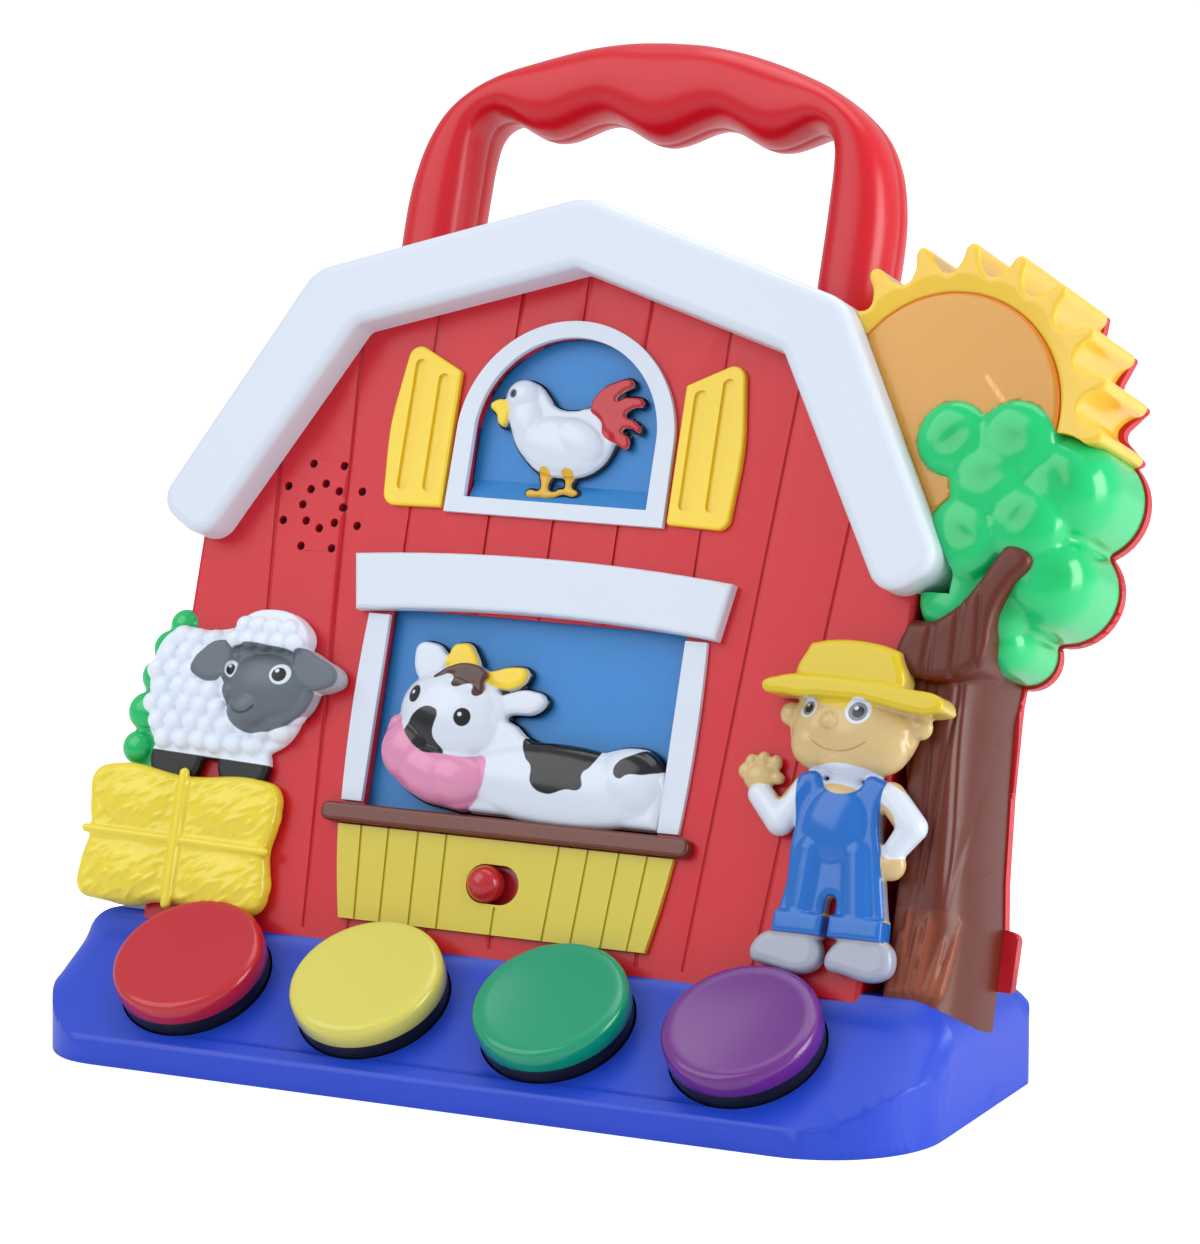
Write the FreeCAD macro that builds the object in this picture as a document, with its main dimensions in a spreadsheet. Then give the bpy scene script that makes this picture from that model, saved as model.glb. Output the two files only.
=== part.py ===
import FreeCAD, Part
import math
import os

# Toy barn with sounds and lights: a leaning barn front on a deep base with four big buttons.
# X runs to the right, Y to the back and Z up. The origin is on the floor, under the line where
# the barn wall meets the base, midway along the base. Panel coordinates are u to the right,
# v up the leaning wall and n out of the wall towards the child.

vec = FreeCAD.Vector
doc = FreeCAD.newDocument("ToyBarn")
sheet = doc.addObject("Spreadsheet::Sheet", "Sizes")

drivingSizes = [
    ("leanAngle", 19.74, "barn wall leans back, degrees"),
    ("jointHeight", 30.07, "height of the wall's foot line"),
    ("wallHalf", 92.5, "half width of the barn wall"),
    ("eaveHeight", 97.6, "wall corner under the eave"),
    ("shoulderHalf", 63.0, "half width at the roof's bend"),
    ("shoulderHeight", 147.0, "height of the roof's bend"),
    ("apexHeight", 167.5, "top of the wall"),
    ("shellWall", 2.2, "wall of the moulded shells"),
    ("frontDepth", 29.0, "wall face to parting plane"),
    ("rearDepth", 17.0, "parting plane to back face"),
    ("trimFront", 10.0, "roof board stands out of the wall"),
    ("trimBack", 8.0, "roof board reaches back over the sides"),
    ("flangeFront", 26.0, "sun and tree rim behind the wall face"),
    ("flangeThick", 3.0, "sun and tree rim thickness"),
    ("baseHalf", 113.5, "half length of the base"),
    ("baseFront", 33.5, "front edge ahead of the joint line"),
    ("baseBack", 52.0, "back edge behind the joint line"),
    ("baseLip", 6.6, "height of the front lip"),
    ("baseTop", 29.3, "top of the base at the wall"),
    ("baseTopBack", 24.2, "top of the base near its back"),
    ("baseWall", 2.4, "wall of the base"),
    ("baseFloor", 0.0, "base rim on the floor"),
    ("footRadius", 6.5, "foot pad radius"),
    ("footThick", 1.0, "foot pads, set flush in the plate"),
    ("plateThick", 2.0, "bottom plate thickness"),
    ("slopeAngle", 31.9, "button slope, degrees"),
    ("slopeY", 14.7, "button axis ahead of the joint line"),
    ("slopeZ", 17.96, "slope height at the button axis"),
    ("buttonPitch", 47.0, "between button axes"),
    ("capRadius", 18.2, "button cap radius"),
    ("capHeight", 5.6, "button cap height"),
    ("capRound", 1.6, "button cap edge radius"),
    ("capWall", 1.8, "button cap wall"),
    ("collarRadius", 17.9, "black collar radius"),
    ("collarTop", 3.4, "collar stands out of the slope"),
    ("collarDeep", 4.0, "collar reaches below the slope"),
    ("collarWall", 1.6, "collar wall"),
    ("stemRadius", 3.0, "plunger radius"),
    ("stemDeep", 5.3, "plunger tip below the slope"),
    ("wellGap", 0.4, "gap between collar and well"),
    ("boardDeep", 8.6, "button board below the slope"),
    ("boardThick", 1.6, "circuit board thickness"),
    ("frameThick", 1.6, "arch frame stands out"),
    ("shutterThick", 1.8, "shutter stands out"),
    ("postThick", 1.3, "window posts stand out"),
    ("lintelThick", 3.8, "lintel stands out"),
    ("sillThick", 3.6, "sill stands out"),
    ("plankThick", 1.5, "plank panel stands out"),
    ("recessDeep", 3.0, "window backs behind the wall face"),
    ("backThick", 1.4, "window back thickness"),
    ("slotLength", 13.5, "switch slot length"),
    ("slotWidth", 9.2, "switch slot width"),
    ("knobRadius", 4.4, "switch knob radius"),
    ("switchTravel", 4.0, "switch travel"),
    ("cellRadius", 7.1, "AA cell radius"),
    ("cellLength", 49.5, "AA cell length"),
    ("cellPitch", 15.4, "between cells"),
    ("doorWidth", 66.0, "battery door width"),
    ("doorHeight", 56.0, "battery door height"),
    ("doorThick", 2.0, "battery door thickness"),
    ("doorGap", 0.35, "gap round the battery door"),
    ("handleOuter", 64.5, "handle half width outside"),
    ("handleInner", 49.3, "handle half width inside"),
    ("handleTop", 223.3, "top of the handle"),
    ("gripUnder", 198.7, "low points of the grip"),
    ("handleHalf", 11.5, "half depth of the handle"),
    ("handleRound", 4.4, "handle edge radius"),
    ("speakerRadius", 18.0, "speaker radius"),
    ("screwRadius", 1.4, "screw radius"),
    ("headRadius", 2.9, "screw head radius"),
    ("sunRadius", 37.5, "sun ray tips"),
    ("sunValley", 32.0, "between the sun rays"),
    ("sunDisc", 27.0, "orange disc of the sun"),
]
for row, (alias, value, note) in enumerate(drivingSizes, start=1):
    sheet.set(f"A{row}", note)
    sheet.set(f"B{row}", str(value))
    sheet.setAlias(f"B{row}", alias)
doc.recompute()


def size(alias):
    return float(sheet.get(alias))


lean = math.radians(size("leanAngle"))
panelTurn = FreeCAD.Rotation(vec(1, 0, 0), 90 - size("leanAngle"))
panel = FreeCAD.Placement(vec(0, 0, size("jointHeight")), panelTurn)
slopeTurn = FreeCAD.Rotation(vec(1, 0, 0), size("slopeAngle"))
shellWall = size("shellWall")
parting = -size("frontDepth")
backFace = parting - size("rearDepth")
handleHalf = size("handleHalf")


def onPanel(u=0.0, v=0.0, n=0.0):
    return panel * FreeCAD.Placement(vec(u, v, n), FreeCAD.Rotation())


def onSlope(x, n=0.0):
    centre = FreeCAD.Placement(vec(x, -size("slopeY"), size("slopeZ")), slopeTurn)
    return centre * FreeCAD.Placement(vec(0, 0, n), FreeCAD.Rotation())


def fromWorld(shape):
    # brings a solid drawn in the part's frame into panel coordinates
    return shape.transformed(panel.inverse().toMatrix())


# outlines

def loop(corners):
    # lines between corners (x, y, radius), each corner rounded by its radius
    count = len(corners)
    starts = []
    for index in range(count):
        before = vec(*corners[index - 1][:2])
        here = vec(*corners[index][:2])
        after = vec(*corners[(index + 1) % count][:2])
        radius = corners[index][2] if len(corners[index]) > 2 else 0
        inward = (before - here).normalize()
        outward = (after - here).normalize()
        half = inward.getAngle(outward) / 2
        if radius == 0 or abs(half - math.pi / 2) < 1e-4:
            starts.append((here, None, here))
            continue
        reach = radius / math.tan(half)
        bisector = (inward + outward).normalize()
        middle = here + bisector * (radius / math.sin(half) - radius)
        starts.append((here + inward * reach, middle, here + outward * reach))
    pieces = []
    for index in range(count):
        begin, middle, end = starts[index]
        if middle is not None:
            pieces.append(Part.Arc(begin, middle, end))
        following = starts[(index + 1) % count][0]
        if (following - end).Length > 1e-6:
            pieces.append(Part.LineSegment(end, following))
    return pieces


def mirrored(corners):
    # closes a right-hand half outline with its left-hand image
    return corners + [(-x, y, r) for x, y, r in reversed(corners) if abs(x) > 1e-9]


def circle(x, y, radius):
    return [Part.Circle(vec(x, y, 0), vec(0, 0, 1), radius)]


def slab(pieces, low, high):
    # a prism of a closed outline between two levels of n
    wire = Part.Wire(Part.__sortEdges__([piece.toShape() for piece in pieces]))
    face = Part.Face(wire)
    face.translate(vec(0, 0, low))
    return face.extrude(vec(0, 0, high - low))


def shrunk(pieces, inset):
    # the same outline moved inwards
    wire = Part.Wire(Part.__sortEdges__([piece.toShape() for piece in pieces]))
    face = Part.Face(wire)
    return face.makeOffset2D(-inset, join=0, fill=False, openResult=False, intersection=False)


def slabOfFace(face, low, high):
    moved = face.copy()
    moved.translate(vec(0, 0, low))
    return moved.extrude(vec(0, 0, high - low))


def tube(x, y, radius, low, high):
    return Part.makeCylinder(radius, high - low, vec(x, y, low))


def dome(x, y, radius, low, rim, rise):
    # a round button with a straight rim and a spherical top
    ball = (radius * radius + rise * rise) / (2 * rise)
    centre = vec(x, y, low + rim + rise - ball)
    latitude = math.degrees(math.asin((ball - rise) / ball))
    cap = Part.makeSphere(ball, centre, vec(0, 0, 1), latitude, 90, 360)
    return cap.fuse(tube(x, y, radius, low, low + rim)).removeSplitter()


def fused(shapes):
    whole = shapes[0].multiFuse(shapes[1:]) if len(shapes) > 1 else shapes[0]
    return whole.removeSplitter()


def edgesAtLevel(shape, level, direction=vec(0, 0, 1)):
    chosen = []
    for index, edge in enumerate(shape.Edges, start=1):
        samples = [edge.valueAt(edge.FirstParameter), edge.valueAt(edge.LastParameter),
                   edge.valueAt((edge.FirstParameter + edge.LastParameter) / 2)]
        if all(abs(point.dot(direction) - level) < 1e-5 for point in samples):
            chosen.append(index)
    return chosen


def rounded(shape, radius, level):
    edges = [shape.Edges[index - 1] for index in edgesAtLevel(shape, level)]
    return shape.makeFillet(radius, edges)


# makers

parts = []


def keep(item, label):
    item.Label = label
    parts.append(item)
    return item


def originPlane(body, role="XY_Plane"):
    return [feature for feature in body.Origin.OriginFeatures if feature.Role == role][0]


def sketchOn(body, name, pieces, offset=0.0):
    sketch = body.newObject("Sketcher::SketchObject", name)
    sketch.AttachmentSupport = [(originPlane(body), "")]
    sketch.MapMode = "FlatFace"
    sketch.AttachmentOffset = FreeCAD.Placement(vec(0, 0, offset), FreeCAD.Rotation())
    for piece in pieces:
        sketch.addGeometry(piece, False)
    return sketch


def plate(label, outline, thickness, place, holes=(), cuts=(), edge=0.0):
    # a moulded plate: a padded outline, through holes, shallow cuts from its face, rounded face edge
    body = doc.addObject("PartDesign::Body", label)
    pad = body.newObject("PartDesign::Pad", "Plate")
    pad.Profile = sketchOn(body, "Outline", outline)
    pad.setExpression("Length", f"Sizes.{thickness}")
    body.Tip = pad
    doc.recompute()
    if edge:
        fillet = body.newObject("PartDesign::Fillet", "RoundedEdge")
        names = [f"Edge{index}" for index in edgesAtLevel(pad.Shape, size(thickness))]
        fillet.Base = (pad, names)
        fillet.Radius = edge
        body.Tip = fillet
        doc.recompute()
    for index, hole in enumerate(holes):
        pocket = body.newObject("PartDesign::Pocket", f"Opening{index}")
        pocket.Profile = sketchOn(body, f"OpeningOutline{index}", hole)
        pocket.Type = 1
        pocket.Reversed = True
        body.Tip = pocket
        doc.recompute()
    for index, (pieces, depth) in enumerate(cuts):
        groove = body.newObject("PartDesign::Pocket", f"Groove{index}")
        groove.Profile = sketchOn(body, f"GrooveOutline{index}", pieces, size(thickness))
        groove.Length = depth
        body.Tip = groove
        doc.recompute()
    body.Placement = place
    return keep(body, label)


def moulded(label, shape, place=panel):
    item = doc.addObject("Part::Feature", label)
    item.Shape = shape
    item.Placement = place
    return keep(item, label)


def strip(x1, y1, x2, y2, width):
    # a thin straight groove from one point to another
    along = vec(x2 - x1, y2 - y1, 0).normalize() * (width / 2)
    across = vec(-along.y, along.x, 0)
    corners = [vec(x1, y1, 0) + across, vec(x1, y1, 0) - across,
               vec(x2, y2, 0) - across, vec(x2, y2, 0) + across]
    return loop([(corner.x, corner.y) for corner in corners])


# base: a long wedge whose front slope carries the buttons and whose back carries the barn

def baseHeight(y):
    return size("slopeZ") + (y + size("slopeY")) * math.tan(math.radians(size("slopeAngle")))


def baseSection(inset, halfLength):
    # the side view of the base, swept along its length; inset gives the hollow inside
    front = -size("baseFront") + inset
    low = size("baseFloor") if inset == 0 else -5.0
    lift = inset / math.cos(math.radians(size("slopeAngle")))
    lipTop = vec(0, front + 1.6, baseHeight(front + 1.6) - lift)
    coveStart = vec(0, -6.0, baseHeight(-6.0) - lift)
    wallFoot = vec(0, 0.4, size("baseTop") - inset)
    coveMiddle = vec(0, -2.5, (coveStart.z + wallFoot.z) / 2 - 0.5)
    backTop = vec(0, size("baseBack") - 9.0, size("baseTopBack") - inset)
    backSide = vec(0, size("baseBack") - inset, size("baseTopBack") - 9.0)
    backRound = vec(0, size("baseBack") - inset - 2.4, size("baseTopBack") - inset - 2.2)
    lipSide = vec(0, front, lipTop.z - 2.4)
    lipRound = vec(0, front + 0.35, lipTop.z - 0.9)
    edges = [Part.makeLine(vec(0, front, low), lipSide),
             Part.Arc(lipSide, lipRound, lipTop).toShape(),
             Part.makeLine(lipTop, coveStart),
             Part.Arc(coveStart, coveMiddle, wallFoot).toShape(),
             Part.makeLine(wallFoot, backTop),
             Part.Arc(backTop, backRound, backSide).toShape(),
             Part.makeLine(backSide, vec(0, size("baseBack") - inset, low)),
             Part.makeLine(vec(0, size("baseBack") - inset, low), vec(0, front, low))]
    face = Part.Face(Part.Wire(edges))
    face.translate(vec(-halfLength, 0, 0))
    return face.extrude(vec(2 * halfLength, 0, 0))


def basePlan(inset, low, high, taper=0.0):
    # the base seen from above, with wide front corners; taper draws the ends in at the top
    front = -size("baseFront") + inset
    back = size("baseBack") - inset
    half = size("baseHalf") - inset
    cornerRadius = 27.0 - inset
    outline = mirrored([(half, front, cornerRadius), (half, back, 7.0 - inset)])
    wire = Part.Wire(Part.__sortEdges__([piece.toShape() for piece in loop(outline)]))
    wire.translate(vec(0, 0, low))
    if taper == 0.0:
        return Part.Face(wire).extrude(vec(0, 0, high - low))
    narrower = wire.copy()
    matrix = FreeCAD.Matrix()
    matrix.scale(1 - taper / half, 1.0, 1.0)
    narrower = narrower.transformGeometry(matrix)
    narrower.translate(vec(0, 0, high - low))
    return Part.makeLoft([wire, narrower], True, True)


buttonPlaces = [(index - 1.5) * size("buttonPitch") + 1.2 for index in range(4)]
wellRadius = size("collarRadius") + size("wellGap")
plateTop = size("baseFloor") + size("plateThick")
plateScrews = [(-98.0, 40.0), (98.0, 40.0), (-88.0, -24.0), (95.0, -20.0)]
barnScrews = [(-62.0, 20.0), (62.0, 20.0)]
wirePassage = (16, 10, 30, vec(-8, 15, 12))


def makeBaseShell():
    outer = baseSection(0, 130).common(basePlan(0, size("baseFloor"), 34, taper=4.0))
    hollow = baseSection(size("baseWall"), 130)
    hollow = hollow.common(basePlan(size("baseWall"), -5, 34, taper=4.0))
    shell = outer.cut(hollow)
    skirts = []
    wells = []
    for x in buttonPlaces:
        skirt = Part.makeCylinder(wellRadius + 1.5, 5.2, vec(0, 0, -5.6))
        well = Part.makeCylinder(wellRadius, 24, vec(0, 0, -12))
        skirt.Placement = onSlope(x)
        well.Placement = onSlope(x)
        skirts.append(skirt)
        wells.append(well)
    posts = []
    for x, y in plateScrews:
        posts.append(Part.makeCylinder(3.6, 40, vec(x, y, plateTop)))
    blocks = fused(skirts + posts).common(outer)
    blocks = blocks.cut(Part.makeBox(300, 200, plateTop + 5, vec(-150, -100, -5)))
    shell = shell.fuse(blocks)
    for well in wells:
        shell = shell.cut(well)
    for x, y in plateScrews:
        shell = shell.cut(Part.makeCylinder(size("screwRadius") + 0.05, 9, vec(x, y, 0)))
    for x, y in barnScrews:
        shell = shell.cut(Part.makeCylinder(size("screwRadius") + 0.35, 60, vec(x, y, 0)))
    shell = shell.cut(Part.makeBox(*wirePassage))
    return shell.removeSplitter()


moulded("base_shell", makeBaseShell(), FreeCAD.Placement())

footPlaces = [(-92.0, -8.0), (92.0, -4.0), (-84.0, 41.0), (84.0, 41.0)]
plateInset = size("baseWall") + 0.4
plateOutline = loop(mirrored([
    (size("baseHalf") - plateInset - 0.4, -size("baseBack") + plateInset, 4.5),
    (size("baseHalf") - plateInset - 0.4, size("baseFront") - plateInset, 24.5)]))
plate("base_plate", plateOutline, "plateThick",
      FreeCAD.Placement(vec(0, 0, plateTop), FreeCAD.Rotation(vec(1, 0, 0), 180)),
      holes=[circle(x, -y, size("screwRadius") + 0.2) for x, y in plateScrews],
      cuts=[(circle(x, -y, size("headRadius") + 0.3), 1.2) for x, y in plateScrews]
      + [(circle(x, -y, size("footRadius")), size("footThick")) for x, y in footPlaces])

feet = [Part.makeCylinder(size("footRadius"), size("footThick"), vec(x, y, 0)) for x, y in footPlaces]
moulded("rubber_feet", Part.makeCompound(feet), FreeCAD.Placement())

# barn shells

barnOutline = loop(mirrored([
    (size("wallHalf"), -13.0, 0), (size("wallHalf"), size("eaveHeight"), 3),
    (size("shoulderHalf"), size("shoulderHeight"), 4), (0.0, size("apexHeight"), 4)]))

sunCentre = (94.0, 132.6)
rayCount = 19
rayPitch = 360.0 / rayCount
firstRay = 12.5


def sunOutline(grow=0.0):
    # a star of rounded rays and rounded valleys
    corners = []
    for index in range(2 * rayCount):
        angle = math.radians(firstRay + index * rayPitch / 2)
        reach, turn = (size("sunRadius") + 0.7, 0.9) if index % 2 == 0 else (size("sunValley") - 0.6, 2.2)
        reach += grow
        corners.append((sunCentre[0] + reach * math.cos(angle), sunCentre[1] + reach * math.sin(angle), turn))
    return loop(corners)


# tree crown lobes: centre u, centre v, radius, level where the dome starts, rise of the dome
crownLobes = [(95.5, 126.3, 9.0, 0.0, 5.0), (111.5, 126.0, 10.0, -1.0, 6.0), (121.5, 117.5, 12.8, -11.0, 11.6),
              (119.0, 97.0, 12.0, -12.0, 11.4), (111.5, 81.5, 6.9, -11.0, 6.5), (101.0, 90.0, 7.5, -5.0, 6.0),
              (112.0, 105.0, 13.0, -5.0, 8.6), (101.0, 109.0, 9.5, -3.0, 6.4)]
trunkOutline = loop([(99.6, -4.6, 0), (99.2, 20.0, 40), (97.6, 45.0, 60), (94.8, 66.0, 40), (92.9, 80.0, 2),
                     (92.9, 84.0, 0), (104.0, 87.5, 12), (112.0, 102.6, 1.5), (120.0, 99.5, 1.5),
                     (113.4, 90.0, 10), (110.8, 78.0, 8), (110.4, 70.0, 20), (111.2, 50.0, 40),
                     (112.8, 30.0, 30), (114.4, 18.0, 2), (114.4, -4.6, 0)])
blockOutline = loop([(106.0, -4.6, 0), (117.6, -4.6, 3), (117.6, 18.6, 1.5), (109.4, 19.6, 1.5)])


def extensionPrism(low, high, grow):
    pieces = [slab(sunOutline(grow), low, high)]
    pieces += [tube(u, v, radius + grow, low, high) for u, v, radius, level, rise in crownLobes]
    pieces += [slabOfFace(shrunk(outline, -grow), low, high) for outline in (trunkOutline, blockOutline)]
    rim = slab(loop([(88, -4.6, 0), (112.0, -4.6, 0), (108.0, 40.0, 0), (108.0, 90.0, 0),
                     (112.0, 122.0, 0), (88.0, 122.0, 0)]), low, high)
    pieces.append(rim)
    return fused(pieces)


# the base's own upper surface, used to trim the foot of everything that stands on it
baseSolid = fromWorld(baseSection(0, 170))
raisedBase = fromWorld(baseSection(0, 170).translated(vec(0, 0, shellWall)))


def handleOutline():
    outer = loop(mirrored([(size("handleOuter"), 138.0, 0), (size("handleOuter"), 205.0, 27),
                           (30.0, size("handleTop") - 1.0, 60), (0.0, size("handleTop"), 200)]))
    return outer


def gripOutline():
    # hand opening: straight legs, a flat foot and three low waves under the grip
    halfPitch = 14.75
    rise = 5.0
    turn = 2 * math.atan(rise / halfPitch)
    inner = size("handleInner")
    highRadius = inner - 3 * halfPitch
    lowRadius = halfPitch / math.sin(turn) - highRadius
    under = size("gripUnder")
    joinU = lowRadius * math.sin(turn)
    joinV = under + lowRadius * (1 - math.cos(turn))
    highV = under + rise - highRadius
    pieces = []
    for centre in (-2 * halfPitch, 0.0, 2 * halfPitch):
        pieces.append(Part.Arc(vec(centre - joinU, joinV, 0), vec(centre, under, 0),
                               vec(centre + joinU, joinV, 0)))
    for centre in (-halfPitch, halfPitch):
        pieces.append(Part.Arc(vec(centre - highRadius * math.sin(turn), joinV, 0),
                               vec(centre, under + rise, 0),
                               vec(centre + highRadius * math.sin(turn), joinV, 0)))
    for side in (-1, 1):
        joint = vec(side * (2 * halfPitch + joinU), joinV, 0)
        slant = highRadius * math.sqrt(0.5)
        crown = vec(side * (3 * halfPitch + slant), highV + slant, 0)
        leg = vec(side * inner, highV, 0)
        pieces.append(Part.Arc(joint, crown, leg))
        pieces.append(Part.LineSegment(leg, vec(side * inner, 140.0, 0)))
    pieces.append(Part.LineSegment(vec(-inner, 140.0, 0), vec(inner, 140.0, 0)))
    return pieces


def handleHalfShell(front):
    # one half of the carry handle, rounded outside and hollow towards the parting plane
    low, high = (parting, parting + handleHalf) if front else (parting - handleHalf, parting)
    ring = slab(handleOutline(), low, high).cut(slab(gripOutline(), low - 1, high + 1))
    ring = ring.cut(slab(loop([(-80, 130, 0), (80, 130, 0), (80, 150, 0), (-80, 150, 0)]), low - 1, high + 1))
    ring = rounded(ring, size("handleRound"), high if front else low)
    outerFace = shrunk(handleOutline(), 2.4)
    innerWire = Part.Face(Part.Wire(Part.__sortEdges__([piece.toShape() for piece in gripOutline()])))
    innerGrown = innerWire.makeOffset2D(2.4, join=0)
    inside = (parting, parting + handleHalf - 3.4) if front else (parting - handleHalf + 3.4, parting)
    core = slabOfFace(outerFace, inside[0], inside[1]).cut(slabOfFace(innerGrown, inside[0] - 1, inside[1] + 1))
    core = core.common(slab(loop([(-90, 172, 0), (90, 172, 0), (90, 240, 0), (-90, 240, 0)]), -60, 0))
    return ring.cut(core)


housingScrews = [(-83.0, 20.0), (83.0, 20.0), (-83.0, 84.0), (83.0, 84.0), (-38.0, 146.0), (38.0, 146.0)]
speakerPlace = (-61.2, 99.3)
slotCentre = (-1.0, 14.2)
knobStart = slotCentre[0] - size("switchTravel") / 2
archOpening = [Part.LineSegment(vec(-23.6, 104.0, 0), vec(23.6, 104.0, 0)),
               Part.LineSegment(vec(23.6, 104.0, 0), vec(23.6, 121.2, 0)),
               Part.Arc(vec(23.6, 121.2, 0), vec(0, 143.5, 0), vec(-23.6, 121.2, 0)),
               Part.LineSegment(vec(-23.6, 121.2, 0), vec(-23.6, 104.0, 0))]
archOuter = [Part.LineSegment(vec(-28.3, 100.2, 0), vec(28.3, 100.2, 0)),
             Part.LineSegment(vec(28.3, 100.2, 0), vec(28.0, 121.4, 0)),
             Part.Arc(vec(28.0, 121.4, 0), vec(0, 147.4, 0), vec(-28.0, 121.4, 0)),
             Part.LineSegment(vec(-28.0, 121.4, 0), vec(-28.3, 100.2, 0))]
windowOpening = loop([(-38.0, 29.5, 0.5), (38.0, 29.5, 0.5), (38.0, 76.5, 0.5), (-38.0, 76.5, 0.5)])


def slotOutline(grow=0.0):
    halfLength = size("slotLength") / 2 + grow
    radius = size("slotWidth") / 2 + grow
    u, v = slotCentre
    return loop([(u - halfLength, v - radius, radius - 0.01), (u + halfLength, v - radius, radius - 0.01),
                 (u + halfLength, v + radius, radius - 0.01), (u - halfLength, v + radius, radius - 0.01)])


# plank joints of the wall, each from its foot to its top: u at the foot, u and v at the top
plankJoints = [(0.0, 0.0, 166.0), (16.6, 16.8, 162.0), (37.1, 37.9, 154.0), (48.9, 57.6, 146.0),
               (65.6, 75.5, 124.0)]


def speakerHoles():
    places = [(0.0, 0.0)]
    for count, radius, start in ((8, 5.4, 0.0), (8, 10.8, 22.5)):
        for index in range(count):
            angle = math.radians(start + index * 360.0 / count)
            places.append((radius * math.cos(angle), radius * math.sin(angle)))
    return places[1:]


def makeFrontHousing():
    box = slab(barnOutline, parting, 0)
    box = rounded(box, 1.5, 0.0)
    inner = slabOfFace(shrunk(barnOutline, shellWall), parting - 1, -shellWall)
    inner = inner.cut(raisedBase)
    flangeHigh = -size("flangeFront")
    flangeLow = flangeHigh - size("flangeThick")
    flange = extensionPrism(flangeLow, flangeHigh, 0.4)
    body = box.fuse(flange.cut(slab(barnOutline, parting - 5, 5)))
    body = body.fuse(handleHalfShell(True))
    body = body.cut(inner)
    bosses = []
    for u, v in housingScrews:
        bosses.append(tube(u, v, 3.8, parting, -1.0))
    for x, y in barnScrews:
        column = fromWorld(Part.makeCylinder(4.2, 14.0, vec(x, y, 24.0)))
        bosses.append(column)
    collar = tube(*speakerPlace, size("speakerRadius") + 1.8, -7.0, -1.0)
    collar = collar.cut(tube(*speakerPlace, size("speakerRadius") + 0.2, -8.0, -shellWall + 0.01))
    bosses.append(collar)
    body = body.fuse(fused(bosses).common(slab(barnOutline, parting, -0.5)))
    body = body.cut(baseSolid)
    for u, v in housingScrews:
        body = body.cut(tube(u, v, size("screwRadius") + 0.05, parting - 1, -8.0))
    for x, y in barnScrews:
        body = body.cut(fromWorld(Part.makeCylinder(size("screwRadius") + 0.05, 12.5, vec(x, y, 20.0))))
    body = body.cut(fromWorld(Part.makeBox(*wirePassage)))
    cuts = [slab(archOpening, -10, 5), slab(windowOpening, -10, 5), slab(slotOutline(), -10, 5)]
    for u, v in speakerHoles():
        cuts.append(tube(speakerPlace[0] + u, speakerPlace[1] + v, 1.05, -10, 5))
    for u, v in ledPlaces:
        cuts.append(tube(u, v, 2.7, flangeLow - 5, flangeHigh + 5))
    for footU, topU, topV in plankJoints:
        for side in ((1,) if footU == 0 else (-1, 1)):
            cuts.append(slab(strip(side * footU, -0.5, side * topU, topV, 1.0), -0.55, 5))
    for x in buttonPlaces:
        room = Part.makeCylinder(size("capRadius") + 0.5, 15.3, vec(0, 0, -12))
        room.Placement = onSlope(x)
        cuts.append(fromWorld(room))
    for shape in cuts:
        body = body.cut(shape)
    return body.removeSplitter()


ledPlaces = [(94.0, 140.0), (112.0, 112.0)]
doorLow = 14.0
doorCentre = (0.0, doorLow + size("doorHeight") / 2)


def doorOutline(grow=0.0):
    halfWidth = size("doorWidth") / 2 + grow
    halfHeight = size("doorHeight") / 2 + grow
    u, v = doorCentre
    return loop([(u - halfWidth, v - halfHeight, 4), (u + halfWidth, v - halfHeight, 4),
                 (u + halfWidth, v + halfHeight, 4), (u - halfWidth, v + halfHeight, 4)])


trayHalf = 30.6
trayLow, trayHigh = 17.5, 67.0
trayDeep = backFace + shellWall + 16.4
doorScrewPlace = (0.0, 67.9)


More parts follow.
